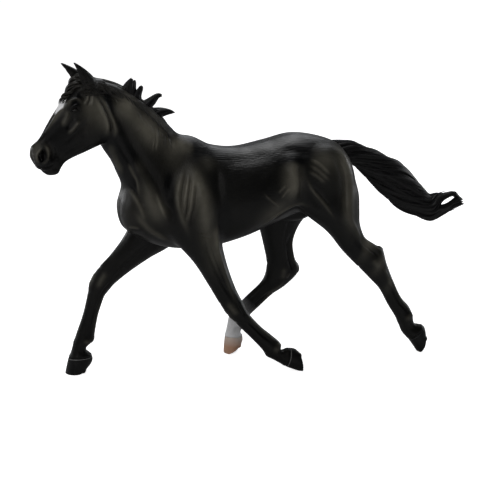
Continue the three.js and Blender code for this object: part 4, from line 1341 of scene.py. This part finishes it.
# %% Hooves
def hoof(name, levels):
    """A hoof's mesh, and how far each of its points lies below the coronet."""
    front, back, y, _ = coronet(levels)
    toe, heel, toe_y, toe_width = levels[-1][1:5]
    middle = np.array([(front[0] + heel[0]) / 2, toe_y, (front[1] + heel[1]) / 2])
    clay = Clay(middle - [9, 6, 8], middle + [9, 6, 8], grain=0.13, reach=1.2)
    clay.measure(loft(levels[-5:], sides=72, between=14), 0.5)
    sole = np.array([(toe[0] + heel[0]) / 2, toe_y, (toe[1] + heel[1]) / 2])
    down = sole - [(front[0] + back[0]) / 2, y, (front[1] + back[1]) / 2]
    down /= np.linalg.norm(down)
    along = math.degrees(math.atan2(heel[1] - toe[1], heel[0] - toe[0]))
    half = math.dist(toe, heel) / 2
    ahead = np.array([toe[0] - heel[0], 0, toe[1] - heel[1]]) / (2 * half)
    hollow = sole + ahead * 0.1 * half
    egg(clay, hollow, (half * 0.74, toe_width * 0.7, 0.9), -along, 0.5, hollow=True)
    egg(clay, sole - ahead * 0.42 * half - down * 0.2, (half * 0.62, toe_width * 0.2, 0.55), -along, 0.35)
    for side in (-1, 1):
        bulb = sole - ahead * 0.72 * half - down * 1.0 + [0, side * toe_width * 0.42, 0]
        egg(clay, bulb, (0.85, toe_width * 0.42, 1.2), -along, 0.6)
    cells, grids = clay.window((-99, -99, -99), (99, 99, 99))
    here = below_line(front, back, grids) + np.zeros_like(grids[1])
    here *= np.sign(below_line(front, back, [toe[0], 0, toe[1]]))
    clay.cut(cells, here - 0.03, 0.15)
    clay.cut(cells, grids[2] + np.zeros_like(here), 0.05)
    points, quads = clay.skin()
    below = np.abs(below_line(front, back, points.T))
    made = mesh_of(name, (points + PLACE) * MM, quads[:, ::-1])
    made.attributes.new("below_coronet", "FLOAT", "POINT").data.foreach_set("value", below)
    return made


def shown(name, mesh, material=None):
    """A smooth piece of the model that lies where its points do."""
    mesh.name = name
    mesh.shade_smooth()
    piece = bpy.data.objects.new(name, mesh)
    bpy.context.scene.collection.objects.link(piece)
    if material:
        mesh.materials.clear()
        mesh.materials.append(material)
    return piece


hooves = {leg: shown(f"{leg}_horn", hoof(leg, levels)) for leg, levels in LEGS.items()}
print("hooves:", {leg: len(piece.data.vertices) for leg, piece in hooves.items()})

# %% [markdown]
# ## Eyes
#
# A toy's eyes are usually moulded with the head and painted with gloss. Here they are two balls sunk in
# the head: a ball keeps one small sharp highlight from every side, and the lids close round it.

# %% Eyes
def eyeball(side):
    centre = turned(EYE_PLACE * [1, side, 1])
    bm = bmesh.new()
    bmesh.ops.create_uvsphere(bm, u_segments=48, v_segments=32, radius=EYE_RADIUS * MM)
    bmesh.ops.translate(bm, verts=bm.verts, vec=Vector((centre + PLACE) * MM))
    made = bpy.data.meshes.new("eye")
    bm.to_mesh(made)
    bm.free()
    return made


eyes = {side: shown(f"eyeball_{side}", eyeball(sign)) for side, sign in (("left", -1), ("right", 1))}

# %% [markdown]
# ## Hair
#
# The toy's hair is plastic too: locks with grooves between the strands. The same kind of levels gives
# each tuft its outline, and a bundle of locks runs through it from root to tip. Geometry Nodes sweep a
# fluted section along every lock: the section is a circle whose radius waves, once for each strand.

# %% Levels of the hair
FORELOCK = [
    ("root", (-58.0, 104.2), (-53.6, 102.8), 0.4, 1.8, 0),
    ("crown", (-60.2, 103.4), (-56.8, 100.2), 0.6, 2.0, 0),
    ("middle", (-62.0, 100.6), (-59.4, 98.4), 0.7, 1.9, 0),
    ("lower", (-64.2, 98.2), (-62.2, 96.2), 0.6, 1.4, 0),
    ("tip", (-65.7, 95.9), (-64.8, 95.0), 0.2, 0.6, 0),
]

TAIL = [
    ("dock", (29.5, 77.2), (32.5, 70.4), 0, 2.8, 0),
    ("root", (37.0, 76.3), (37.0, 69.0), 0.3, 3.1, 0),
    ("first lock", (43.2, 73.6), (40.6, 66.6), 0.8, 3.3, 0),
    ("second lock", (49.4, 70.8), (44.8, 62.6), 1.2, 3.5, 0),
    ("third lock", (55.4, 67.4), (49.8, 57.6), 1.5, 3.6, 0),
    ("fourth lock", (60.6, 62.4), (55.4, 52.6), 1.6, 3.4, 0),
    ("fifth lock", (64.6, 58.2), (61.4, 48.9), 1.5, 3.1, 0),
    ("bend", (68.2, 54.9), (68.6, 45.5), 1.2, 2.7, 0),
    ("curl", (71.8, 55.6), (73.6, 47.4), 1.0, 1.5, 0),
    ("end", (77.4, 55.8), (78.2, 48.9), 0.8, 1.1, 0),
    ("tip", (81.8, 53.2), (81.8, 49.8), 0.6, 0.8, 0),
]

MANE_CREST = [
    ("bridle path", (-53.6, 103.4), (-53.6, 100.4), -0.6, 1.0, 0),
    ("hump", (-49.4, 102.2), (-50.0, 98.4), -0.2, 1.6, 0),
    ("upper", (-43.6, 99.6), (-44.8, 95.4), 0.4, 1.8, 0),
    ("middle", (-36.4, 94.4), (-38.4, 90.6), 0.7, 1.9, 0),
    ("lower", (-30.6, 89.4), (-32.6, 86.2), 0.6, 1.7, 0),
    ("root", (-26.2, 84.0), (-27.8, 81.4), 0.3, 1.0, 0),
]

TUFTS = [
    [
        ("root", (-44.4, 99.2), (-40.6, 96.6), 0.2, 1.0, 0),
        ("middle", (-42.6, 101.2), (-40.4, 99.2), 0.2, 0.8, 0),
        ("tip", (-40.9, 102.6), (-40.1, 101.9), 0.1, 0.4, 0),
    ],
    [
        ("root", (-42.8, 98.6), (-39.4, 95.8), 0.8, 1.0, 0),
        ("middle", (-41.0, 100.4), (-39.3, 98.8), 1.0, 0.7, 0),
        ("tip", (-39.6, 101.6), (-39.0, 101.2), 1.2, 0.4, 0),
    ],
    [
        ("root", (-41.0, 96.8), (-37.4, 94.2), 0.6, 1.2, 0),
        ("middle", (-39.0, 98.2), (-37.4, 96.2), 0.9, 0.9, 0),
        ("tip", (-37.3, 99.8), (-36.3, 99.2), 1.2, 0.5, 0),
    ],
    [
        ("root", (-38.2, 94.2), (-34.0, 91.6), 0.6, 1.2, 0),
        ("middle", (-34.8, 95.6), (-32.8, 93.0), 1.0, 0.9, 0),
        ("end", (-32.0, 96.4), (-31.4, 95.0), 1.4, 0.7, 0),
        ("tip", (-29.9, 96.2), (-30.0, 95.4), 1.6, 0.4, 0),
    ],
    [
        ("root", (-34.8, 91.8), (-31.0, 88.6), 0.5, 1.2, 0),
        ("middle", (-31.2, 92.0), (-30.0, 88.9), 0.8, 0.9, 0),
        ("end", (-28.4, 91.4), (-28.2, 89.4), 1.1, 0.7, 0),
        ("tip", (-25.6, 90.2), (-25.8, 89.7), 1.3, 0.3, 0),
    ],
]
print("tufts:", len(TUFTS), "and levels along the tail:", len(TAIL))

# %% [markdown]
# A lock modelled by hand is slow to make and hard to bend. In a node tree one section is swept along any
# number of curves, and the strands and the depth of the flutes stay inputs of the modifier.

# %% A node tree that makes locks
def socket(tree, name, kind, default=None, out=False):
    way = "OUTPUT" if out else "INPUT"
    made = tree.interface.new_socket(name, in_out=way, socket_type=f"NodeSocket{kind}")
    if default is not None:
        made.default_value = default
    return made.identifier


def lock_tree():
    """Locks of hair along curves, whose radius is theirs."""
    tree = bpy.data.node_groups.new("fluted locks", "GeometryNodeTree")
    socket(tree, "Locks", "Geometry")
    names = {
        "strands": socket(tree, "Strands in a lock", "Int", 4),
        "flute": socket(tree, "Depth of the flutes", "Float", 0.16),
        "sides": socket(tree, "Sides of a section", "Int", 16),
        "ragged": socket(tree, "Raggedness", "Float", 0.00006),
        "material": socket(tree, "Finish", "Material"),
    }
    socket(tree, "Locks", "Geometry", out=True)
    given = node(tree, "NodeGroupInput").outputs
    sizes = {"Resolution": given["Sides of a section"], "Radius": 1.0}
    ring = node(tree, "GeometryNodeCurvePrimitiveCircle", sizes)
    place = node(tree, "GeometryNodeInputPosition").outputs[0]
    parts = node(tree, "ShaderNodeSeparateXYZ", {0: place}).outputs
    turn = node(tree, "ShaderNodeMath", {0: parts[1], 1: parts[0]}, operation="ARCTAN2").outputs[0]
    wave = sum_of(tree, "COSINE", sum_of(tree, "MULTIPLY", turn, given["Strands in a lock"]))
    swell = sum_of(tree, "MULTIPLY_ADD", wave, given["Depth of the flutes"], 1.0)
    fluted = node(tree, "ShaderNodeVectorMath", {0: place, "Scale": swell}, operation="SCALE").outputs[0]
    ring = node(tree, "GeometryNodeSetPosition", {"Geometry": ring.outputs[0], "Position": fluted})
    radius = node(tree, "GeometryNodeInputRadius").outputs[0]
    run = node(tree, "GeometryNodeCurveToMesh", {
        "Curve": given["Locks"], "Profile Curve": ring.outputs[0], "Scale": radius, "Fill Caps": True})
    noise = node(tree, "ShaderNodeTexNoise", {"Scale": 900.0, "Detail": 1.0}).outputs["Color"]
    shake = node(tree, "ShaderNodeVectorMath", {0: noise, 1: (0.5, 0.5, 0.5)}, operation="SUBTRACT")
    shake = {0: shake.outputs[0], "Scale": given["Raggedness"]}
    shake = node(tree, "ShaderNodeVectorMath", shake, operation="SCALE").outputs[0]
    moved = node(tree, "GeometryNodeSetPosition", {"Geometry": run.outputs[0], "Offset": shake}).outputs[0]
    smooth = node(tree, "GeometryNodeSetShadeSmooth", {"Geometry": moved}).outputs[0]
    real = node(tree, "GeometryNodeRealizeInstances", {"Geometry": smooth}).outputs[0]
    done = node(tree, "GeometryNodeSetMaterial", {"Geometry": real, "Material": given["Finish"]}).outputs[0]
    node(tree, "NodeGroupOutput", {"Locks": done})
    return tree, names


LOCKS, LOCK_INPUTS = lock_tree()
print("inputs of the lock tree:", sorted(LOCK_INPUTS))


# %% [markdown]
# The curves themselves come from three rules. A bundle fills a form drawn in levels, its locks turning
# round the form's middle as they go. Hair that lies close is drawn as strokes are, and touches the skin
# all along. And a bundle can be parted round a slot, each lock going round it on the side where it
# already runs.

# %% Bundles of locks
def bundle(levels, count, seed, thick, turns=0.0, spread=0.72, ends=(0.86, 1.0), wave=0.0, blunt=0.3):
    """Curves and radii of locks that run through a form, turning about its middle as they go."""
    chance = np.random.default_rng(seed)
    locks = []
    for n in range(count):
        end = chance.uniform(*ends)
        t = np.linspace(0.0, end, 40)
        middle, depth, width, _ = level_curves(levels, t)
        about = 2 * math.pi * (n / count + turns * t) + chance.uniform(-0.3, 0.3)
        out = spread * math.sqrt((n % 3 + 3) / 5) * (1 + wave * np.sin(9 * t + chance.uniform(0, 6)))
        points = middle + (out * np.cos(about))[:, None] * depth
        points[:, 1] += out * np.sin(about) * width
        size = np.sqrt(np.linalg.norm(depth, axis=1) * width)
        fade = np.clip((end - t) / (end * blunt), 0.02, 1) ** 0.5
        locks.append((points, thick * size * fade * chance.uniform(0.75, 1.25)))
    return locks


def lying(lines, radius, mirror=1):
    """Locks that lie on the skin, drawn in the side view."""
    for line in lines:
        curve = laid("side", 0.6, line, mirror)
        if len(curve) > 3:
            t = np.linspace(0, 1, len(curve))
            yield curve, radius * np.clip(4 * t, 0.3, 1) * np.clip(2.5 * (1 - t), 0.05, 1) ** 0.5


SLOT_RUN = (0.34, -0.28)  # how far the slot goes back, and up, for each mm to the right


def parted(locks, middle, half, lean):
    """The locks pushed apart round a slanting slot that runs through the tail."""
    c, s = math.cos(math.radians(lean)), math.sin(math.radians(lean))
    for points, radii in locks:
        x = points[:, 0] - middle[0] - SLOT_RUN[0] * points[:, 1]
        z = points[:, 2] - middle[1] - SLOT_RUN[1] * points[:, 1]
        along, up = x * c + z * s, z * c - x * s
        long, high = half[0] + radii, half[1] + radii
        inside = np.clip(1 - (along / long) ** 2, 0, 1) ** 0.5 * high
        near = inside > 0
        side = -1 if near.any() and up[near].mean() < 0 else 1
        push = np.where(near, side * np.maximum(side * up, inside) - up, 0)
        points[:, 0] -= push * s
        points[:, 2] += push * c
    return locks


def combed(name, locks, material, strands=4, flute=0.16, ragged=0.06):
    """The locks as one plain mesh, made by the node tree."""
    curve = bpy.data.curves.new(name, "CURVE")
    curve.dimensions = "3D"
    for points, radii in locks:
        spline = curve.splines.new("POLY")
        spline.points.add(len(points) - 1)
        spline.points.foreach_set("co", np.c_[(points + PLACE) * MM, np.ones(len(points))].ravel())
        spline.points.foreach_set("radius", radii * MM)
    made = bpy.data.objects.new(name, curve)
    bpy.context.scene.collection.objects.link(made)
    modifier = made.modifiers.new("locks", "NODES")
    modifier.node_group = LOCKS
    values = {"strands": strands, "flute": flute, "ragged": ragged * MM, "material": material}
    for key, value in values.items():
        modifier[LOCK_INPUTS[key]] = value
    bpy.context.view_layer.update()
    mesh = bpy.data.meshes.new_from_object(made.evaluated_get(bpy.context.evaluated_depsgraph_get()))
    bpy.data.objects.remove(made)
    return shown(name, mesh)


print("a bundle:", [len(points) for points, _ in bundle(TUFTS[0], 3, seed=1, thick=0.5)], "points")

# %% [markdown]
# ## Tail
#
# Thick locks give the tail its body, thinner ones its surface, and a few fine ones break it. Near the end
# the moulding has a slot right through, where two of the locks part and meet again.

# %% The tail
TAIL_SLOT = ((75.0, 52.8), (3.2, 0.85), 25)  # middle, half length and height, lean
tail_locks = bundle(TAIL, 18, seed=3, thick=0.42, turns=0.7, spread=0.62, ends=(0.965, 1.0), blunt=0.08)
tail_locks += bundle(TAIL, 48, seed=4, thick=0.17, turns=0.85, spread=0.98, ends=(0.8, 0.95), wave=0.06)
tail_locks += bundle(TAIL, 30, seed=5, thick=0.10, turns=1.0, spread=1.04, ends=(0.5, 0.9), wave=0.08)
tail = combed("tail_locks", parted(tail_locks, *TAIL_SLOT), HAIR, strands=5, flute=0.14)
print("tail:", len(tail_locks), "locks,", len(tail.data.polygons), "faces")

# %% [markdown]
# ## Mane
#
# The mane falls to the right, and the wind lifts five tufts off the crest. On the left, short hair is
# combed down from the crest and dusted with olive, so it is a piece of its own with the other paint.

# %% The mane
crest_locks = bundle(MANE_CREST, 16, seed=7, thick=0.42, turns=0.4, spread=0.6)
mane_locks = []
for n, tuft in enumerate(TUFTS):
    settings = {"thick": 0.62, "turns": 0.2, "spread": 0.55, "ends": (0.93, 1.0), "blunt": 0.14}
    mane_locks += bundle(tuft, 5, seed=20 + n, **settings)


def fallen_lock(n):
    """A lock on the right side of the neck, the nth one down from the poll. Every other one is longer."""
    x = -48.5 + 4.4 * n
    z = 99.6 - 3.1 * n
    y = 0.55 * n
    long = 0.8 if n % 2 else 1.15
    return [
        ("root", (x - 2.0, z + 1.4), (x + 1.6, z - 1.2), 1.0, 1.2, 0),
        ("shoulder", (x - 0.8, z - 2.2), (x + 3.2, z - 4.0), y + 3.9, 1.3, 0),
        ("middle", (x + 1.8 * long, z - 6.2 * long), (x + 4.8 * long, z - 7.0 * long), y + 5.2, 1.1, 0),
        ("tip", (x + 5.2 * long, z - 10.2 * long), (x + 5.9 * long, z - 9.9 * long),
         y + 5.9 * long, 0.4, 0),
    ]


for n in range(5):
    mane_locks += bundle(fallen_lock(n), 8, seed=40 + n, thick=0.4, turns=0.25, spread=0.75, blunt=0.2)
chance = np.random.default_rng(11)
CREST = [(-54.0, 101.6), (-48.4, 99.6), (-42.0, 95.6), (-36.0, 90.4), (-30.0, 84.4)]
roots = []
for n in range(34):  # short hair combed down from the crest
    x, z = through(CREST, np.array(n / 33))
    long = chance.uniform(1.0, 3.0)
    back = chance.uniform(0.1, 0.9)
    bend = chance.uniform(-0.2, 0.2)
    middle = (x + back * long * 0.3 + bend, z - 0.3 * long)
    roots.append([(x - 0.8, z + 1.2), middle, (x + back * long, z - 0.9 * long)])
for side in (1, -1):
    crest_locks += lying(roots, 0.26, mirror=side)
mane = combed("mane_locks", mane_locks, HAIR, strands=4, flute=0.18)
crest = combed("crest_locks", crest_locks, DUSTY_HAIR, strands=4, flute=0.18)
print("mane:", len(mane_locks), "locks, crest:", len(crest_locks))

# %% [markdown]
# ## Forelock
#
# The forelock waves down between the ears onto the star, and some hair is swept back behind each ear.

# %% The forelock
forelock_locks = bundle(FORELOCK, 20, seed=60, thick=0.28, turns=0.8, spread=0.88, wave=0.5, blunt=0.2)
forelock_locks = [(turned(points), radii) for points, radii in forelock_locks]
poll_hair = []
for n in range(12):  # swept back from behind the ear
    z = 102.2 - 0.3 * n + chance.uniform(-0.15, 0.15)
    x = -56.6 - 0.22 * n + chance.uniform(-0.3, 0.5)
    end = -50.4 + chance.uniform(-1.6, 1.4)
    bend = chance.uniform(-0.4, 0.4, 3)
    line = [(x, z), (x + 1.8, z + bend[0]), (x + 3.6, z - 0.3 + bend[1]), (end, z - 1.1 + bend[2])]
    poll_hair.append(line)
for side in (1, -1):
    forelock_locks += lying(poll_hair, 0.22, mirror=side)
forelock = combed("forelock_locks", forelock_locks, DUSTY_HAIR, strands=4, flute=0.18)
print("forelock:", len(forelock_locks), "locks,", len(forelock.data.polygons), "faces")

# %% [markdown]
# ## The finished skin
#
# The dense mesh is thinned, which keeps faces where the form turns quickly. What it loses in smoothness
# it gets back from the dense mesh, by taking over that one's normals.

# %% Thinning
SKIN_TRIANGLES = 192000
rough.vertices.foreach_set("co", ((skin_points + PLACE) * MM).ravel())
dense = bpy.data.objects.new("dense skin", rough)
bpy.context.scene.collection.objects.link(dense)
thin = dense.modifiers.new("thin", "DECIMATE")
thin.ratio = SKIN_TRIANGLES / len(rough.polygons)
bpy.context.view_layer.update()
mesh = bpy.data.meshes.new_from_object(dense.evaluated_get(bpy.context.evaluated_depsgraph_get()))
bpy.data.objects.remove(dense)
skin = shown("skin", mesh, COAT)
places = np.empty(len(mesh.vertices) * 3)
mesh.vertices.foreach_get("co", places)
places = places.reshape(-1, 3) / MM - PLACE
print("skin:", len(mesh.polygons), "triangles")

# %% [markdown]
# Flat triangles would show in the gloss. So each point of the thinned mesh takes its normal from the
# nearest place on the dense one.

# %% Smooth shading
rough.vertices.foreach_set("co", skin_points.ravel())
rough.update()
dense_normals = np.empty(len(skin_points) * 3, np.float32)
rough.vertex_normals.foreach_get("vector", dense_normals)
dense_normals = dense_normals.reshape(-1, 3)
corners = np.empty(len(rough.polygons) * 3, np.int32)
rough.polygons.foreach_get("vertices", corners)
corners = corners.reshape(-1, 3)
dense_skin = BVHTree.FromPolygons(skin_points.tolist(), corners.tolist())
faces_hit = np.array([dense_skin.find_nearest(place)[2] for place in places.tolist()])
around = corners[faces_hit]
reach = 1 / (np.linalg.norm(skin_points[around] - places[:, None], axis=2) + 0.02)
skin_normals = (dense_normals[around] * reach[..., None]).sum(1)
skin_normals /= np.linalg.norm(skin_normals, axis=1, keepdims=True)
mesh.normals_split_custom_set_from_vertices(skin_normals.tolist())
print("normals:", len(skin_normals))

# %% [markdown]
# Paint is a number on every point of the mesh. The ridges that catch the light are airbrushed olive with
# the same curves that raised them: partly the toy's own paint, partly a painted highlight.

# %% Paint on the points
def painted(name, amount):
    values = np.clip(amount, 0, 1).astype(np.float32)
    mesh.attributes.new(name, "FLOAT", "POINT").data.foreach_set("value", values)


def spotted(middle, radii, lean=0, on_head=False):
    """1 in the middle of an egg and less towards its edge, on both sides."""
    x, y, z = np.stack(straight(*places.T)) if on_head else places.T
    across, up = lean_back(x - middle[0], z - middle[2], lean)
    side = np.abs(y) - middle[1]
    return np.exp(-((across / radii[0]) ** 2 + (side / radii[1]) ** 2 + (up / radii[2]) ** 2))


# Only what stands out this far gets the olive, which is partly paint and partly painted highlight.
HIGH = 0.2  # mm: only what stands out this far is airbrushed
RIDGES = [  # strokes, on the head, spread, amount
    (BROAD, False, 1.15, 0.5),
    (FINE, False, 1.2, 0.42),
    (HEAD_STROKES, True, 1.1, 0.5),
]
# Olive along the raised ridges: partly paint, partly painted highlight.
ridges = []
for rows, on_head, spread, amount in RIDGES:
    high_rows = [row for row in rows if row[3] >= HIGH]
    ridges += [(curve, width * spread, amount) for curve, width, _ in curves_of(high_rows, on_head)]
ridges += [(curve, width * 1.1, 0.32) for curve, width, height in all_leg_curves() if height >= HIGH]
olive_and_highlight = pressed(places, skin_normals, ridges)
print("airbrushed ridges:", len(ridges))

# %% [markdown]
# Besides the ridges, soft spots of olive lie on the large masses, partly paint and partly painted
# highlight. A spot with a negative amount takes the olive away and keeps a hollow black, as painted
# shade: before the hip, behind the jaw, along the throat.

# %% Soft spots
OLIVE_HIGHLIGHT_AND_SHADE_SPOTS = [  # name, middle, half lengths, lean, on the head, amount
    ("cheek", (-54.8, 4.0, 92.0), (4.2, 3.0, 6.0), -24, True, 0.42),
    ("breast", (-41.5, 3.0, 60.0), (4.0, 5.0, 7.0), 0, False, 0.22),
    ("arm's band", (-35.4, 7.0, 59.0), (3.0, 5.0, 3.4), -20, False, 0.5),
    ("shoulder's folds", (-25.8, 12.0, 66.0), (3.6, 4.0, 5.4), 0, False, 0.5),
    ("triceps", (-20.6, 12.0, 58.0), (3.4, 4.0, 6.0), 0, False, 0.3),
    ("forearm's top", (-16.6, 13.0, 45.6), (2.8, 5.0, 6.0), 0, False, 0.5),
    ("foot of the neck", (-29.0, 7.0, 77.0), (4.0, 5.0, 6.0), 0, False, 0.15),
    ("flank", (9.8, 13.0, 66.4), (2.8, 5.0, 4.4), 0, False, 0.5),
    ("belly's edge", (4.6, 12.0, 57.0), (5.5, 6.0, 2.8), -30, False, 0.5),
    ("quarter", (25.0, 9.0, 69.0), (6.0, 5.0, 6.0), 30, False, 0.12),
    ("ham", (30.4, 8.0, 68.0), (3.4, 6.0, 8.0), 0, False, 0.4),
    ("gaskin", (39.6, 10.0, 42.4), (2.6, 5.0, 5.0), 30, False, 0.6),
    ("hock", (45.2, 11.0, 35.8), (1.8, 5.0, 4.6), 34, False, 0.5),
    ("hind cannon", (49.6, 11.0, 29.0), (1.5, 5.0, 5.0), 28, False, 0.35),
    ("before the gaskin", (36.0, 12.0, 41.0), (2.2, 5.0, 5.0), 34, False, -0.2),
    ("middle of the crest", (-34.4, 4.0, 84.4), (5.0, 4.0, 5.0), -32, False, 0.35),
    ("nose", (-75.2, 1.5, 81.2), (1.6, 2.6, 2.8), 20, True, 0.4),
    ("behind the nostril", (-71.4, 3.0, 81.6), (1.2, 2.0, 1.8), 0, True, 0.3),
    ("forehead", (-64.7, 2.2, 94.6), (1.6, 2.0, 2.6), -40, True, 0.12),
    ("brow", (-62.0, 3.6, 97.2), (2.2, 2.2, 1.8), 0, True, -0.3),
    ("behind the jaw", (-50.2, 5.0, 93.6), (1.6, 4.0, 5.0), -24, True, -0.3),
    ("temple", (-57.6, 4.9, 94.6), (3.0, 3.0, 2.6), 0, True, 0.25),
    ("jaw", (-52.6, 4.6, 88.8), (1.8, 3.0, 5.0), -24, True, 0.3),
    ("nose bone", (-69.4, 1.6, 88.0), (2.6, 2.4, 5.0), -40, True, -0.3),
    ("upper crest", (-44.0, 4.0, 94.4), (5.6, 4.0, 3.0), -36, False, 0.4),
    ("lower crest", (-36.0, 4.0, 89.4), (5.0, 4.0, 2.6), -36, False, 0.2),
    ("front of the withers", (-27.6, 4.0, 79.4), (3.6, 4.0, 3.0), -20, False, 0.35),
    ("behind the blade", (-17.7, 8.0, 74.6), (2.8, 4.0, 3.0), 0, False, 0.2),
    ("elbow", (-20.0, 13.5, 51.4), (2.0, 5.0, 4.6), 0, False, 0.35),
    ("hip", (22.8, 11.4, 73.0), (4.2, 5.0, 3.0), 20, False, 0.35),
    ("before the folds", (-30.6, 10.0, 66.0), (1.6, 5.0, 6.0), 0, False, -0.15),
    ("behind the elbow", (-13.8, 12.0, 52.4), (1.8, 5.0, 4.6), 0, False, -0.35),
    ("withers", (-18.0, 4.0, 81.0), (7.0, 8.0, 4.0), 0, False, -0.4),
    ("throat", (-48.4, 3.0, 80.0), (2.6, 6.0, 9.0), -28, False, -0.3),
    ("before the arm's band", (-40.9, 6.6, 70.5), (2.4, 5.0, 6.4), -20, False, -0.45),
    ("before the hip", (12.0, 12.0, 76.0), (5.0, 5.0, 2.4), 0, False, -0.4),
    ("nostril", (-73.6, 3.2, 80.2), (2.4, 2.5, 2.8), 0, True, -0.22),
]
# Olive spots are partly painted highlight; the negative ones keep hollows black as painted shade.
for _, middle, radii, lean, on_head, amount in OLIVE_HIGHLIGHT_AND_SHADE_SPOTS:
    olive_and_highlight += amount * spotted(middle, radii, lean, on_head)
# No olive or painted highlight round the eye: it stays dark.
olive_and_highlight *= 1 - 0.9 * spotted(EYE_PLACE, (2.6, 2.4, 2.0), 0, on_head=True)
painted("airbrush", 0.02 + olive_and_highlight)
print("spots:", len(OLIVE_HIGHLIGHT_AND_SHADE_SPOTS))

# %% [markdown]
# The white marks are sprayed with a soft edge too. The star is a small rounded diamond, drawn on the
# straight head. The sock is full from the fetlock down and fades out up the cannon. It is measured along
# the leg's own levels, as the leg is bent.

# %% Star and sock
head_x, head_y, head_z = straight(*places.T)
from_face, up_face = lean_back(head_x + 65.2, head_z - 94.6, 41.5)
star_width = np.maximum(2.1 + 0.14 * up_face, 0.1)
star = 1 - (np.abs(up_face) / 3.3) ** 1.4 - (np.abs(head_y) / star_width) ** 1.4
star = np.clip(star / 0.25, 0, 1) * (from_face < 2)
leg_t = np.linspace(0, 1, 161)
leg_line = level_curves(HIND_RIGHT, leg_t)[0]
low = np.flatnonzero((places[:, 1] > 6) & (places[:, 2] < 30) & (places[:, 0] > -12) & (places[:, 0] < 24))
gaps = np.linalg.norm(places[low, None] - leg_line[None], axis=2)
sock = np.zeros(len(places))
along_leg = leg_t[gaps.argmin(1)] * (len(HIND_RIGHT) - 1)
sock[low] = np.clip((along_leg - 10.1) / 2.0, 0, 1) ** 1.2 * (gaps.min(1) < 7) * 0.92
painted("white", np.maximum(star, sock))
print("star:", int((star > 0.5).sum()), "points, sock:", int((sock > 0.5).sum()))

# %% [markdown]
# Two more numbers guide the moulded hair lines: which way they lie, upright on the neck and along the
# body behind it, and how deep they are: in full on the back and the neck, less than half on the head, and
# next to nothing on the legs.

# %% Hair lines of the coat
painted("lying", (places[:, 0] + 30) / 12)
hairy = np.clip((places[:, 2] - 52) / 20, 0.12, 1)
hairy *= np.where((places[:, 0] < -47) & (places[:, 2] > 78), 0.45, 1.0)
painted("hairy", hairy)
print("attributes:", [a.name for a in mesh.attributes if not a.name.startswith(".")])

# %% [markdown]
# ## Finishing
#
# Every piece rides on the one body, stands for its solids, and gets its finish.

# %% Riding on the frame
for leg, piece in hooves.items():
    pale = leg == "hindleg_right"
    lined = leg.startswith("foreleg")
    piece.data.materials.append(PALE_HORN if pale else DARK_HORN if lined else PLAIN_HORN)
    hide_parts(f"{leg}_hoof")
for side, piece in eyes.items():
    piece.data.materials.append(EYE)
    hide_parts(f"eye_{side}")
for name, piece in (("tail", tail), ("mane", mane), ("mane", crest), ("forelock", forelock)):
    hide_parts(name)
covered = ("hoof", "eye", "mane", "tail", "forelock")
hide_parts(*[name for name in frame["nodes"] if not any(word in name for word in covered)])
pieces = (skin, tail, mane, crest, forelock, *hooves.values(), *eyes.values())
for piece in pieces:
    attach(piece, "root")
print("pieces on the body:", [piece.name for piece in pieces])
